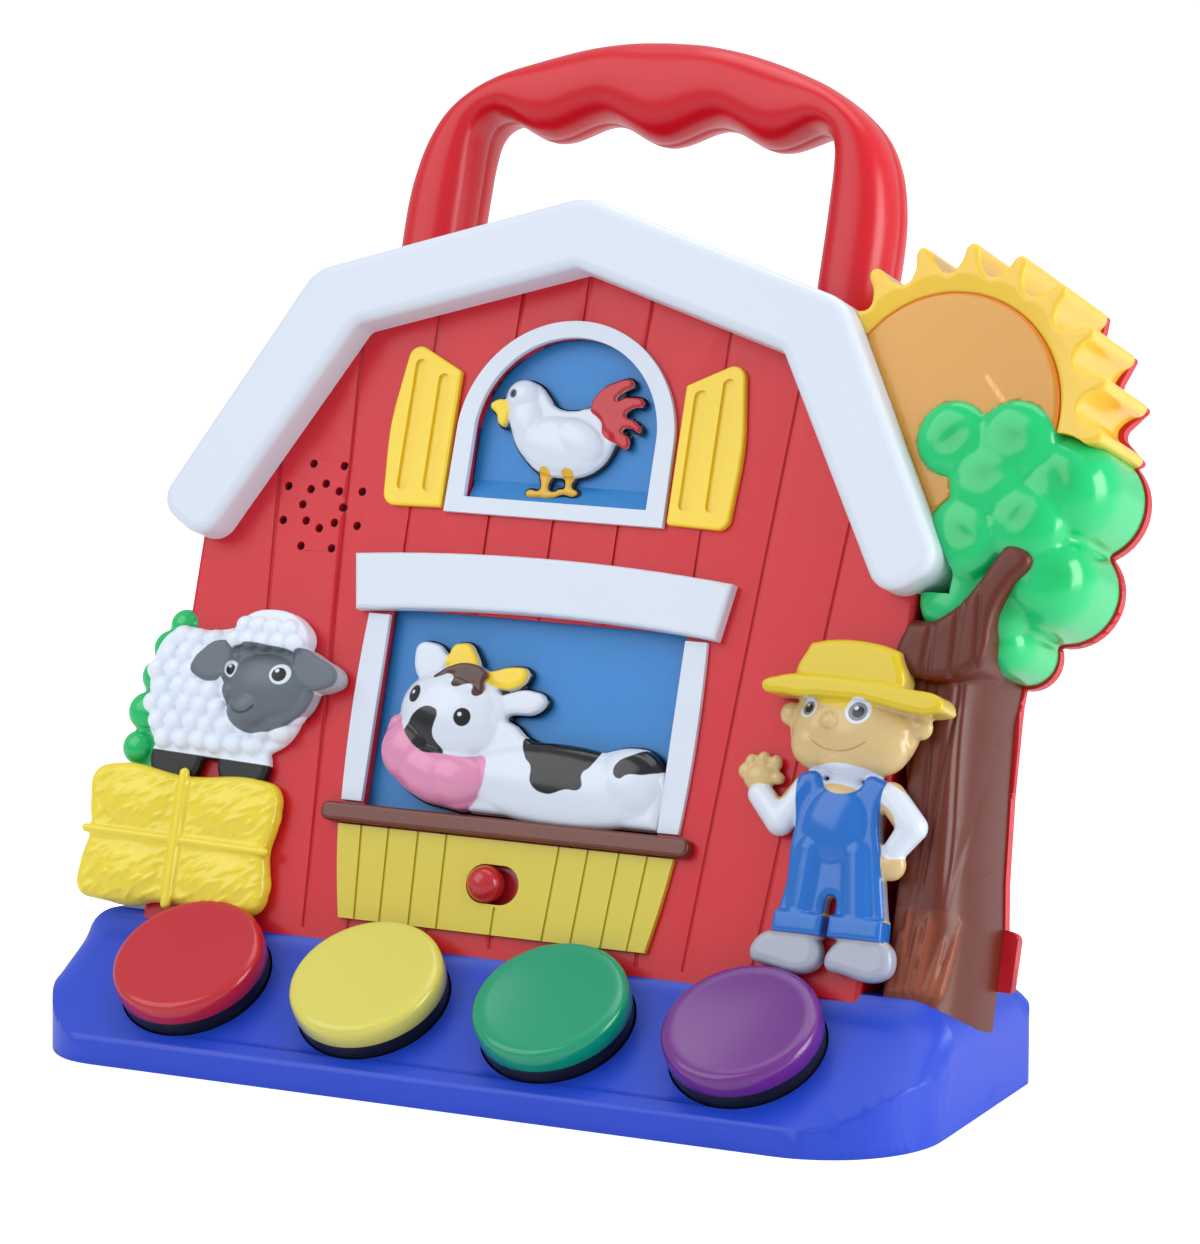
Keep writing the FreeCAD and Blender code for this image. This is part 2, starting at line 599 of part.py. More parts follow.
def makeRearHousing():
    box = slab(barnOutline, backFace, parting)
    box = rounded(box, 4.0, backFace)
    inner = slabOfFace(shrunk(barnOutline, shellWall + 0.2), backFace + shellWall, parting + 1)
    inner = inner.cut(raisedBase)
    flangeLow = -size("flangeFront") - size("flangeThick")
    coverLow = flangeLow - 5.0
    cover = fused([tube(sunCentre[0], sunCentre[1], 28.0, coverLow, flangeLow),
                   tube(109.0, 104.0, 17.0, coverLow, flangeLow),
                   slab(loop([(84, -4.6, 0), (110.0, -4.6, 4), (105.0, 60.0, 20), (108.0, 100.0, 10),
                              (84, 120.0, 0)]), coverLow, flangeLow)])
    cover = rounded(cover, 2.5, coverLow)
    coverHollow = fused([tube(sunCentre[0], sunCentre[1], 25.8, coverLow + 2.0, flangeLow + 1),
                         tube(109.0, 104.0, 14.8, coverLow + 2.0, flangeLow + 1)])
    cover = cover.cut(coverHollow).cut(slab(barnOutline, backFace - 5, 5))
    body = box.fuse(cover)
    body = body.fuse(handleHalfShell(False))
    body = body.cut(inner)
    extras = [tube(u, v, 3.8, backFace + 0.5, parting) for u, v in housingScrews]
    tray = slab(loop([(-trayHalf - 1.6, trayLow - 1.6, 2), (trayHalf + 1.6, trayLow - 1.6, 2),
                      (trayHalf + 1.6, trayHigh + 5.4, 2), (-trayHalf - 1.6, trayHigh + 5.4, 2)]),
                backFace + 0.5, trayDeep + 1.6)
    extras.append(tray)
    body = body.fuse(fused(extras))
    body = body.cut(baseSolid)
    hollow = slab(loop([(-trayHalf, trayLow, 1), (trayHalf, trayLow, 1), (trayHalf, trayHigh, 1),
                        (-trayHalf, trayHigh, 1)]), backFace - 1, trayDeep)
    body = body.cut(hollow)
    body = body.cut(slab(doorOutline(size("doorGap")), backFace - 1, backFace + size("doorThick") + 0.3))
    for u, v in housingScrews:
        body = body.cut(tube(u, v, size("screwRadius") + 0.2, backFace - 1, parting + 1))
        body = body.cut(tube(u, v, size("headRadius") + 0.4, backFace - 1, backFace + 6.0))
    body = body.cut(tube(*doorScrewPlace, size("screwRadius") + 0.05, backFace + 1, trayDeep - 2))
    return body.removeSplitter()


moulded("front_housing", makeFrontHousing())
moulded("rear_housing", makeRearHousing())

# roof board: a bent white board over the gable

def roofOutline():
    right = [(101.0, 95.5, 6), (68.4, 154.6, 10), (0.0, 175.8, 16)]
    left = [(-68.4, 154.6, 10), (-101.0, 95.5, 6)]
    inside = [(-87.0, 86.8, 6), (-55.1, 141.9, 3), (0.0, 158.6, 3), (55.1, 141.9, 3), (87.0, 86.8, 6)]
    return loop(right + left + inside)


def makeRoofTrim():
    board = slab(roofOutline(), -size("trimBack"), size("trimFront"))
    board = rounded(board, 2.4, size("trimFront"))
    board = board.cut(slab(barnOutline, -size("trimBack") - 1, 0.0))
    hollow = slabOfFace(shrunk(roofOutline(), 2.0), 0.0, size("trimFront") - 2.0)
    hollow = hollow.common(slab(barnOutline, -1, size("trimFront")))
    board = board.cut(hollow)
    handleSlot = slab(handleOutline(), parting - 20, -size("trimBack") + 12)
    board = board.cut(handleSlot.common(slab(loop([(-90, 100, 0), (90, 100, 0), (90, 200, 0), (-90, 200, 0)]),
                                             parting - 20, parting + handleHalf + 0.3)))
    return board.removeSplitter()


moulded("roof_trim", makeRoofTrim())

# windows

plate("arch_frame", archOuter, "frameThick", onPanel(), holes=[archOpening])
recess = -size("recessDeep") - size("backThick")


def archBack():
    back = [Part.LineSegment(vec(-26.0, 101.5, 0), vec(26.0, 101.5, 0)),
            Part.LineSegment(vec(26.0, 101.5, 0), vec(26.0, 121.2, 0)),
            Part.Arc(vec(26.0, 121.2, 0), vec(0, 145.8, 0), vec(-26.0, 121.2, 0)),
            Part.LineSegment(vec(-26.0, 121.2, 0), vec(-26.0, 101.5, 0))]
    sheetBack = slab(back, recess, -size("recessDeep"))
    wedge = Part.Face(Part.makePolygon([vec(-23.2, 104.2, -size("recessDeep")), vec(-23.2, 104.2, -0.3),
                                        vec(-23.2, 109.0, -size("recessDeep")),
                                        vec(-23.2, 104.2, -size("recessDeep"))]))
    ledge = wedge.extrude(vec(46.4, 0, 0))
    return sheetBack.fuse(ledge).removeSplitter()


moulded("arch_back", archBack())
plate("window_back", loop([(-41.0, 27.0, 2), (41.0, 27.0, 2), (41.0, 79.0, 2), (-41.0, 79.0, 2)]),
      "backThick", onPanel(n=recess))


def shutter(side):
    outline = loop([(side * 29.2, 101.0, 0.8), (side * 44.6, 100.6, 3), (side * 45.9, 120.0, 60),
                    (side * 43.0, 140.6, 3), (side * 29.2, 133.8, 0.8)])
    slots = [loop([(side * 38.4, 104.5, 1.4), (side * 41.6, 104.5, 1.4), (side * 41.4, 136.4, 1.4),
                   (side * 38.4, 135.6, 1.4)]),
             loop([(side * 31.6, 104.5, 1.4), (side * 34.8, 104.5, 1.4), (side * 34.8, 133.6, 1.4),
                   (side * 31.6, 132.2, 1.4)])]
    return outline, slots


for side, label in ((-1, "left_shutter"), (1, "right_shutter")):
    outline, slots = shutter(side)
    plate(label, outline, "shutterThick", onPanel(), cuts=[(slot, 0.9) for slot in slots], edge=0.6)

plate("window_lintel",
      [Part.LineSegment(vec(-46.4, 75.0, 0), vec(-48.7, 88.3, 0)),
       Part.Arc(vec(-48.7, 88.3, 0), vec(0, 90.6, 0), vec(48.7, 88.3, 0)),
       Part.LineSegment(vec(48.7, 88.3, 0), vec(46.4, 75.0, 0)),
       Part.Arc(vec(46.4, 75.0, 0), vec(0, 77.3, 0), vec(-46.4, 75.0, 0))],
      "lintelThick", onPanel(), edge=1.0)

posts = []
for side in (-1, 1):
    outer = Part.Arc(vec(side * 43.4, 30.2, 0), vec(side * 44.3, 52.0, 0), vec(side * 43.6, 76.0, 0))
    posts.append(slab([outer, Part.LineSegment(vec(side * 43.6, 76.0, 0), vec(side * 38.2, 76.0, 0)),
                       Part.LineSegment(vec(side * 38.2, 76.0, 0), vec(side * 38.2, 30.2, 0)),
                       Part.LineSegment(vec(side * 38.2, 30.2, 0), vec(side * 43.4, 30.2, 0))],
                      0, size("postThick")))
postTrim = slab(loop([(-46.4, 74.6, 0), (46.4, 74.6, 0), (46.4, 80, 0), (-46.4, 80, 0)]), -1, 9)
posts = [post.cut(postTrim) for post in posts]
moulded("window_posts", Part.makeCompound(posts))

plate("window_sill", loop([(-47.4, 24.9, 2), (47.4, 24.9, 2), (47.4, 29.4, 2), (-47.4, 29.4, 2)]),
      "sillThick", onPanel(), edge=0.9)
plankOutline = [Part.LineSegment(vec(-39.4, 2.6, 0), vec(39.4, 2.6, 0)),
                Part.Arc(vec(39.4, 2.6, 0), vec(41.6, 13.6, 0), vec(43.2, 24.5, 0)),
                Part.LineSegment(vec(43.2, 24.5, 0), vec(-43.2, 24.5, 0)),
                Part.Arc(vec(-43.2, 24.5, 0), vec(-41.6, 13.6, 0), vec(-39.4, 2.6, 0))]
plankGrooves = [(35.0, 37.0), (28.4, 29.8), (20.8, 22.0), (13.5, 14.6)]
plankCuts = []
for foot, top in plankGrooves:
    for side in (-1, 1):
        plankCuts.append((strip(side * foot, 1.0, side * top, 26.0, 0.7), 0.5))
plankCuts.append((strip(0.4, 1.0, 0.4, 9.0, 0.7), 0.5))
plate("plank_panel", plankOutline, "plankThick", onPanel(), holes=[slotOutline()], cuts=plankCuts)


# figures and scenery on the wall

def figure(label, plates, domes, trims=()):
    # plates: outline, low, high, edge radius. domes: u, v, radius, low, rim, rise
    shapes = []
    for outline, low, high, edge in plates:
        solid = slab(outline, low, high)
        shapes.append(rounded(solid, edge, high) if edge else solid)
    shapes += [dome(*values) for values in domes]
    shape = fused(shapes)
    for trim in trims:
        shape = shape.cut(trim)
    moulded(label, shape)
    return shape


backLevel = -size("recessDeep")
figure("hen",
       [(loop([(-16.5, 122.0, 2), (-13.0, 113.0, 5), (-3.0, 109.5, 4), (6.0, 110.5, 5), (12.5, 119.0, 4),
               (10.0, 127.0, 3), (0.0, 124.5, 6), (-8.0, 128.0, 3), (-10.5, 132.8, 2), (-16.0, 132.6, 2)]),
         backLevel, 1.4, 1.6),
        (loop([(4.0, 126.0, 1), (9.0, 118.0, 1), (15.5, 117.6, 1), (15.4, 121.8, 0.6), (18.6, 123.0, 1),
               (15.6, 126.0, 0.6), (18.6, 129.2, 1), (14.8, 130.4, 0.6), (14.4, 133.9, 1), (7.0, 131.0, 2)]),
         backLevel, 0.2, 0),
        (loop([(-20.6, 125.8, 0.6), (-17.4, 121.4, 0.8), (-15.0, 126.0, 0.6), (-16.4, 128.6, 0.6)]),
         backLevel, 0.0, 0),
        (loop([(-8.0, 105.4, 0.6), (4.6, 105.4, 0.6), (2.8, 112.0, 0.8), (-4.0, 112.0, 0.8)]),
         backLevel, -0.2, 0)],
       [(-13.0, 129.0, 4.2, backLevel, 3.6, 1.2), (0.0, 118.0, 7.5, backLevel, 4.2, 1.6)],
       trims=[archBack()])

figure("cow",
       [(loop([(-34.0, 34.5, 6), (-26.0, 30.2, 3), (36.4, 30.2, 2), (38.0, 44.0, 4), (34.0, 50.5, 6),
               (20.0, 47.6, 12), (6.0, 52.6, 6), (-6.0, 58.0, 4), (-20.0, 58.5, 4), (-31.5, 58.0, 4)]),
         backLevel, 3.0, 2.2),
        (loop([(-30.6, 69.4, 1.6), (-30.0, 59.0, 2), (-8.0, 54.0, 2), (4.8, 54.4, 1.6), (5.0, 58.6, 1.4),
               (-3.2, 60.4, 1), (-3.6, 64.0, 0.8), (-9.5, 62.4, 1), (-15.5, 65.0, 1), (-16.6, 68.4, 0.8),
               (-21.4, 66.0, 1), (-25.0, 69.4, 1.2)]),
         backLevel, 1.0, 0.8)],
       [(-20.5, 52.0, 12.5, backLevel, 5.0, 4.0), (-21.5, 39.9, 9.6, backLevel, 5.0, 4.4),
        (-28.5, 42.0, 7.0, backLevel, 5.0, 3.6), (-13.0, 38.6, 6.5, backLevel, 5.0, 3.4)])

sheepShape = figure("sheep",
       [(loop([(-98.0, 44.0, 6), (-88.0, 35.5, 6), (-66.0, 36.0, 8), (-56.0, 47.0, 5), (-58.0, 68.0, 6),
               (-72.0, 73.0, 5), (-84.0, 67.5, 6), (-97.0, 66.0, 8)]), 0.0, 5.4, 3.0),
        (loop([(-93.6, 31.6, 1), (-83.0, 31.6, 1), (-84.0, 40.0, 1), (-92.6, 40.0, 1)]), 0.0, 2.4, 0.6),
        (loop([(-75.0, 31.6, 1), (-65.0, 31.6, 1), (-66.0, 40.0, 1), (-74.0, 40.0, 1)]), 0.0, 2.6, 0.6),
        (loop([(-85.0, 57.0, 1), (-78.5, 54.0, 1), (-76.0, 63.5, 2), (-81.0, 64.5, 2)]), 0.0, 6.6, 0.8),
        (loop([(-57.0, 64.0, 2), (-47.0, 58.2, 1), (-51.0, 54.4, 1), (-58.0, 55.0, 1)]), 0.0, 6.6, 0.8)],
       [(-67.2, 54.6, 11.0, 0.0, 6.4, 3.6), (-69.0, 48.0, 6.2, 0.0, 6.4, 3.4),
        (-66.3, 67.0, 8.6, 0.0, 6.4, 2.8), (-90.0, 52.0, 8.0, 0.0, 4.6, 2.6), (-84.0, 44.0, 8.0, 0.0, 4.6, 2.6)])

figure("bush",
       [(loop([(-104.6, 33.0, 2), (-86.0, 33.0, 1), (-86.0, 71.0, 3), (-95.0, 72.0, 4), (-99.6, 62.0, 4),
               (-104.6, 52.0, 4)]), -4.0, -0.3, 0.8)],
       [(-101.5, 38.5, 5.0, -4.0, 3.0, 1.4), (-101.0, 49.5, 5.2, -4.0, 3.0, 1.4), (-96.5, 60.5, 4.6, -4.0, 3.0, 1.4),
        (-93.5, 68.0, 4.2, -4.0, 3.0, 1.4)],
       trims=[slab(barnOutline, parting, 0.0), sheepShape,
              slab(loop([(-110, 20, 0), (-60, 20, 0), (-60, 33.0, 0), (-110, 33.0, 0)]), -6, 12)])

# the bale stands on the base slope and leaves room for the red button beside it
redRoom = Part.makeCylinder(size("capRadius") + 0.6, 24.0, vec(0, 0, -8.0))
redRoom.Placement = onSlope(buttonPlaces[0])
figure("hay_bale",
       [(loop([(-110.0, 2.6, 7), (-84.0, 0.2, 30), (-60.4, -0.4, 5), (-58.0, 15.5, 30), (-58.6, 30.6, 6),
               (-84.0, 32.6, 30), (-106.6, 33.2, 6), (-108.4, 17.0, 30)]), 0.0, 5.6, 2.6),
        (strip(-83.6, -0.4, -83.8, 32.6, 2.4), 0.0, 6.4, 0.5),
        (strip(-109.0, 16.4, -58.2, 15.4, 2.0), 0.0, 6.4, 0.5)],
       [], trims=[baseSolid, sheepShape, fromWorld(redRoom)])

figure("farmer",
       [(loop([(71.4, 76.4, 2), (70.0, 68.0, 1), (94.6, 68.0, 1), (92.4, 76.4, 3)]), 0.0, 7.2, 1.4),
        (loop([(61.8, 65.6, 1.6), (70.0, 67.2, 4), (82.0, 65.4, 20), (96.0, 66.6, 6), (105.6, 63.4, 1.2),
               (96.0, 61.6, 6), (82.0, 62.4, 20), (70.0, 63.2, 6)]), 0.0, 7.4, 0.5),
        (loop([(71.6, 14.6, 1), (82.4, 14.6, 1), (83.4, 24.0, 1), (84.8, 14.6, 1), (97.4, 14.6, 1),
               (94.4, 32.0, 8), (93.4, 47.0, 2), (72.4, 47.0, 2), (73.2, 32.0, 8)]), 0.0, 5.6, 0.8),
        (loop([(71.2, 9.4, 1), (98.2, 9.4, 1), (98.0, 15.2, 1), (71.2, 15.2, 1)]), 0.0, 5.4, 0.9),
        (loop([(76.6, 49.5, 1), (76.6, 44.6, 3), (88.4, 44.6, 3), (88.4, 49.5, 1)]), 0.0, 5.8, 0.8),
        (loop([(73.0, 46.4, 2), (66.8, 39.4, 2), (64.6, 44.0, 1), (60.2, 42.6, 1), (61.4, 37.6, 1.6),
               (68.4, 31.6, 2.6), (74.4, 36.0, 2)]), 0.0, 4.4, 0.8),
        (loop([(93.4, 46.4, 3), (103.8, 38.4, 4), (100.0, 30.2, 2), (94.4, 31.6, 1.6), (97.0, 36.8, 2),
               (92.6, 39.6, 1.6)]), 0.0, 4.8, 0.8)],
       [(83.0, 56.4, 13.4, 0.0, 5.0, 2.6), (76.0, 57.6, 9.6, 0.0, 5.0, 2.0), (89.4, 57.6, 9.6, 0.0, 5.0, 2.0),
        (67.3, 60.2, 2.6, 0.0, 3.6, 1.0), (99.2, 59.6, 2.6, 0.0, 3.6, 1.0),
        (70.6, 7.2, 3.6, 0.0, 4.6, 2.0), (77.0, 7.2, 3.8, 0.0, 4.6, 2.0), (89.0, 7.0, 3.6, 0.0, 4.6, 2.0),
        (95.6, 7.0, 3.8, 0.0, 4.6, 2.0), (74.0, 7.2, 3.8, 0.0, 4.6, 2.0), (92.2, 7.0, 3.8, 0.0, 4.6, 2.0),
        (62.4, 45.6, 4.2, 0.0, 3.4, 1.6), (58.4, 45.0, 2.2, 0.0, 3.0, 1.2), (60.4, 48.0, 1.9, 0.0, 3.0, 1.2),
        (63.6, 48.6, 1.9, 0.0, 3.0, 1.2), (96.6, 28.6, 3.6, 0.0, 3.4, 1.6)],
       trims=[slab(loop([(60, -20, 0), (120, -20, 0), (120, 3.0, 0), (60, 3.0, 0)]), -1, 20)])

# tree and sun at the right-hand side, standing on the rim of the front shell

flangeHigh = -size("flangeFront")
clearOfBarn = fused([slab(barnOutline, parting, 30),
                     slab(roofOutline(), -size("trimBack") - 0.05, size("trimFront") + 1),
                     slab(loop([(-80, 140, 0), (64.9, 140, 0), (64.9, 230, 0), (-80, 230, 0)]), parting, 0)])


clearSkin = slab(loop(mirrored([
    (size("wallHalf") + 2.2, -16.0, 0), (size("wallHalf") + 2.2, size("eaveHeight"), 3),
    (size("shoulderHalf") + 2.2, size("shoulderHeight"), 4), (0.0, size("apexHeight") + 2.2, 4)])), parting, 30)
clearSkin = clearSkin.fuse(slabOfFace(shrunk(roofOutline(), -2.2), -size("trimBack") - 2.2, 30))


def grownTrunk(grow):
    wire = Part.Wire(Part.__sortEdges__([piece.toShape() for piece in trunkOutline]))
    return Part.Face(wire).makeOffset2D(grow, join=0)


def alongTrunk(section, low, high):
    # a section (u, n) across the trunk, drawn out along it
    corners = [vec(u, low, n) for u, n in section]
    face = Part.Face(Part.makePolygon(corners + corners[:1]))
    return face.extrude(vec(0, high - low, 0))


def trunkRound(inset):
    # the trunk's front stands just behind the wall face and falls back to its rim at the right
    back = flangeHigh - (1.0 if inset else 0.0)
    return alongTrunk([(92.0, back), (92.0, -3.4 - inset), (99.0, -0.6 - inset), (106.6 - inset * 0.4, -0.6 - inset),
                       (111.4 - inset, -7.0 - inset * 0.4), (114.6 - inset, back)], -6.0, 105.0)


def blockRound(inset):
    back = flangeHigh - (1.0 if inset else 0.0)
    return alongTrunk([(104.0, back), (104.0, -0.3 - inset), (109.6 - inset * 0.4, -0.3 - inset),
                       (115.4 - inset, -11.0 - inset * 0.4), (117.6 - inset, back)], -6.0, 20.0)


lampRoom = fused([tube(u, v, 3.2, flangeHigh - 1, -14.0) for u, v in ledPlaces])


def makeCrown():
    lobes = []
    hollow = []
    for u, v, radius, level, rise in crownLobes:
        lobes.append(dome(u, v, radius, flangeHigh, level - flangeHigh, rise))
        hollow.append(tube(u, v, radius - 2.2, flangeHigh - 1, level - 1.0))
    crown = fused(lobes).cut(slab(trunkOutline, flangeHigh - 1, 30))
    keepClear = slabOfFace(grownTrunk(2.2), flangeHigh - 2, 30).fuse(clearSkin)
    crown = crown.cut(fused(hollow).cut(keepClear))
    return crown.cut(lampRoom).cut(clearOfBarn)


moulded("tree_crown", makeCrown())


def makeTrunk():
    branch = slab(trunkOutline, flangeHigh, 4.6).common(slab(loop([(92, 80, 0), (125, 80, 0), (125, 106, 0),
                                                                   (92, 106, 0)]), flangeHigh, 5))
    trunk = slab(trunkOutline, flangeHigh, 3.0).common(trunkRound(0.0)).fuse(branch)
    root = slab(blockOutline, flangeHigh, 3.0).common(blockRound(0.0))
    trunk = trunk.fuse(root)
    hollow = slabOfFace(grownTrunk(-2.2), flangeHigh - 1, 2.0).common(trunkRound(2.2))
    rootHollow = slabOfFace(shrunk(blockOutline, 2.2), flangeHigh - 1, 2.0).common(blockRound(2.2))
    trunk = trunk.cut(hollow.fuse(rootHollow).cut(clearSkin).cut(raisedBase))
    return trunk.cut(clearOfBarn).cut(baseSolid).removeSplitter()


moulded("tree_trunk", makeTrunk())


def makeSunRays():
    rays = rounded(slab(sunOutline(), flangeHigh, 2.4), 0.6, 2.4)
    rays = rays.cut(tube(sunCentre[0], sunCentre[1], size("sunDisc"), -0.6, 5.0))
    rays = rays.cut(tube(sunCentre[0], sunCentre[1], size("sunDisc") - 2.0, flangeHigh - 1, 5.0))
    for u, v, radius, level, rise in crownLobes:
        rays = rays.cut(tube(u, v, radius + 0.05, flangeHigh - 1, 20))
    rays = rays.cut(clearOfBarn)
    solids = sorted(rays.Solids, key=lambda solid: -solid.Volume)
    return solids[0]


moulded("sun_rays", makeSunRays())


def makeSunDisc():
    disc = tube(sunCentre[0], sunCentre[1], size("sunDisc") - 0.15, -0.6, 2.0)
    disc = rounded(disc, 1.0, 2.0)
    for u, v, radius, level, rise in crownLobes:
        disc = disc.cut(tube(u, v, radius + 0.05, flangeHigh - 1, 20))
    return disc.cut(clearOfBarn).removeSplitter()


moulded("sun_disc", makeSunDisc())

# four big buttons: a coloured cap on a black collar that slides in the base's round well


def buttonCap(label, x):
    body = doc.addObject("PartDesign::Body", label)
    pad = body.newObject("PartDesign::Pad", "Cap")
    pad.Profile = sketchOn(body, "CapCircle", circle(0, 0, size("capRadius")))
    pad.setExpression("Length", "Sizes.capHeight")
    body.Tip = pad
    doc.recompute()
    fillet = body.newObject("PartDesign::Fillet", "SoftRim")
    fillet.Base = (pad, [f"Edge{index}" for index in edgesAtLevel(pad.Shape, size("capHeight"))])
    fillet.setExpression("Radius", "Sizes.capRound")
    body.Tip = fillet
    doc.recompute()
    pocket = body.newObject("PartDesign::Pocket", "Hollow")
    pocket.Profile = sketchOn(body, "HollowCircle", circle(0, 0, size("capRadius") - size("capWall")))
    pocket.Reversed = True
    pocket.setExpression("Length", "Sizes.capHeight - Sizes.capWall")
    body.Tip = pocket
    doc.recompute()
    body.Placement = onSlope(x, size("collarTop"))
    return keep(body, label)


def buttonCollar(label, x):
    radius, wall = size("collarRadius"), size("collarWall")
    top, deep = size("collarTop"), size("collarDeep")
    ring = Part.makeCylinder(radius, top + deep, vec(0, 0, -deep))
    ring = rounded(ring, 0.6, -deep)
    ring = ring.cut(Part.makeCylinder(radius - wall, top + deep - wall, vec(0, 0, -deep)))
    stem = Part.makeCylinder(size("stemRadius"), top + size("stemDeep"), vec(0, 0, -size("stemDeep")))
    core = ring.fuse(stem)
    for turn in range(4):
        rib = Part.makeBox(radius - wall, 1.2, top + 1.0, vec(0, -0.6, -1.0))
        rib.rotate(vec(0, 0, 0), vec(0, 0, 1), turn * 90)
        core = core.fuse(rib)
    return moulded(label, core.removeSplitter(), onSlope(x))


buttonColours = ["red", "yellow", "green", "purple"]
for x, colour in zip(buttonPlaces, buttonColours):
    buttonCap(f"{colour}_cap", x)
    buttonCollar(f"{colour}_collar", x)

# button board under the slope, with one rubber dome below each plunger
boardSpan = 176.0
boardWidth = 21.0
board = Part.makeBox(boardSpan, boardWidth, size("boardThick"),
                     vec(-boardSpan / 2, -boardWidth / 2, -size("boardDeep") - size("boardThick")))
for gap in range(3):
    notchX = (gap - 1) * size("buttonPitch")
    board = board.cut(Part.makeCylinder(1.6, 30, vec(notchX, 7.0, -20)))
moulded("button_board", board, onSlope(1.2))
domes = []
for x in buttonPlaces:
    rubber = Part.makeCone(5.0, 3.4, 1.0, vec(0, 0, -size("boardDeep")))
    rubber.Placement = onSlope(x)
    domes.append(rubber)
moulded("button_domes", Part.makeCompound(domes), FreeCAD.Placement())

# slide switch under the plank panel


def makeKnob():
    radius = size("knobRadius")
    ball = Part.makeSphere(radius, vec(knobStart, slotCentre[1], 0.8))
    neck = tube(knobStart, slotCentre[1], 3.0, -4.6, 1.0)
    flange = slab(loop([(knobStart - 10.2, slotCentre[1] - 6.4, 1), (knobStart + 10.2, slotCentre[1] - 6.4, 1),
                        (knobStart + 10.2, slotCentre[1] + 6.4, 1), (knobStart - 10.2, slotCentre[1] + 6.4, 1)]),
                  -4.0, -2.6)
    lever = slab(loop([(knobStart - 1.4, slotCentre[1] - 1.4, 0), (knobStart + 1.4, slotCentre[1] - 1.4, 0),
                       (knobStart + 1.4, slotCentre[1] + 1.4, 0), (knobStart - 1.4, slotCentre[1] + 1.4, 0)]),
                 -7.0, -2.8)
    return fused([ball, neck, flange, lever])


moulded("switch_knob", makeKnob())
switchBody = slab(loop([(-12.0, 9.4, 1), (10.0, 9.4, 1), (10.0, 19.0, 1), (-12.0, 19.0, 1)]), -12.0, -5.4)
leverSlot = slab(loop([(-7.4, 12.0, 0), (5.4, 12.0, 0), (5.4, 16.4, 0), (-7.4, 16.4, 0)]), -8.6, -5.0)
moulded("slide_switch", switchBody.cut(leverSlot))

# speaker, circuit board and lamps inside the barn

speaker = doc.addObject("Part::Cylinder", "SpeakerBasket")
speaker.setExpression("Radius", "Sizes.speakerRadius")
speaker.Height = 4.0
speaker.Placement = FreeCAD.Placement(vec(0, 0, 0), FreeCAD.Rotation())
magnet = doc.addObject("Part::Cylinder", "SpeakerMagnet")
magnet.setExpression("Radius", "Sizes.speakerRadius * 0.6")
magnet.Height = 6.0
magnet.Placement = FreeCAD.Placement(vec(0, 0, -5.5), FreeCAD.Rotation())
wholeSpeaker = doc.addObject("Part::Fuse", "Speaker")
wholeSpeaker.Base = speaker
wholeSpeaker.Tool = magnet
wholeSpeaker.Placement = onPanel(*speakerPlace, -shellWall - 4.2)
keep(wholeSpeaker, "speaker")

mainBoard = doc.addObject("Part::Box", "MainBoard")
mainBoard.Length = 58.0
mainBoard.Width = 46.0
mainBoard.setExpression("Height", "Sizes.boardThick")
mainBoard.Placement = onPanel(-28.0, 34.0, -12.0)
keep(mainBoard, "main_board")
chips = [slab(loop([(u, v, 0.5), (u + wide, v, 0.5), (u + wide, v + tall, 0.5), (u, v + tall, 0.5)]),
              -12.0 + size("boardThick"), -12.0 + size("boardThick") + high)
         for u, v, wide, tall, high in ((-8.0, 52.0, 13.0, 13.0, 2.4), (12.0, 44.0, 9.0, 6.0, 1.8),
                                        (-22.0, 42.0, 5.0, 10.0, 3.0), (14.0, 66.0, 6.0, 6.0, 4.0))]
moulded("board_chips", Part.makeCompound(chips))

lampFoot = flangeHigh - size("flangeThick") - 1.4
for label, (u, v) in zip(("sun_lamp", "tree_lamp"), ledPlaces):
    bulb = tube(u, v, 2.5, lampFoot, lampFoot + 6.9).fuse(Part.makeSphere(2.5, vec(u, v, lampFoot + 6.9)))
    bulb = bulb.fuse(tube(u, v, 2.9, lampFoot, lampFoot + 1.2))
    moulded(label, bulb.removeSplitter())

# battery compartment: three cells, their contacts, and a screwed door

cellRows = [trayLow + 1.0 + size("cellRadius") + 0.6 + row * size("cellPitch") for row in range(3)]
cellLevel = backFace + shellWall + 0.6 + size("cellRadius") + 0.6
cells = []
contacts = []
for row, v in enumerate(cellRows):
    way = 1 if row % 2 == 0 else -1
    can = Part.makeCylinder(size("cellRadius"), size("cellLength") - 1.2,
                            vec(-size("cellLength") / 2 * way, v, cellLevel), vec(way, 0, 0))
    nub = Part.makeCylinder(2.6, 1.2, vec((size("cellLength") / 2 - 1.2) * way, v, cellLevel), vec(way, 0, 0))
    cells.append(can.fuse(nub))
    flat = Part.makeBox(0.5, 9.0, 9.0, vec(-0.25, -4.5, -4.5))
    flat.translate(vec(way * (trayHalf - 0.3), v, cellLevel))
    contacts.append(flat)
    coilBase = Part.makeBox(0.5, 9.0, 9.0, vec(-0.25, -4.5, -4.5))
    coilBase.translate(vec(-way * (trayHalf - 0.3), v, cellLevel))
    cone = Part.makeCone(4.0, 2.2, 4.6, vec(-way * (trayHalf - 0.55), v, cellLevel), vec(way, 0, 0))
    bore = Part.makeCone(3.2, 1.4, 4.6, vec(-way * (trayHalf - 0.55), v, cellLevel), vec(way, 0, 0))
    contacts.append(coilBase.fuse(cone.cut(bore)))
moulded("batteries", Part.makeCompound(cells))
moulded("battery_contacts", Part.makeCompound(contacts))


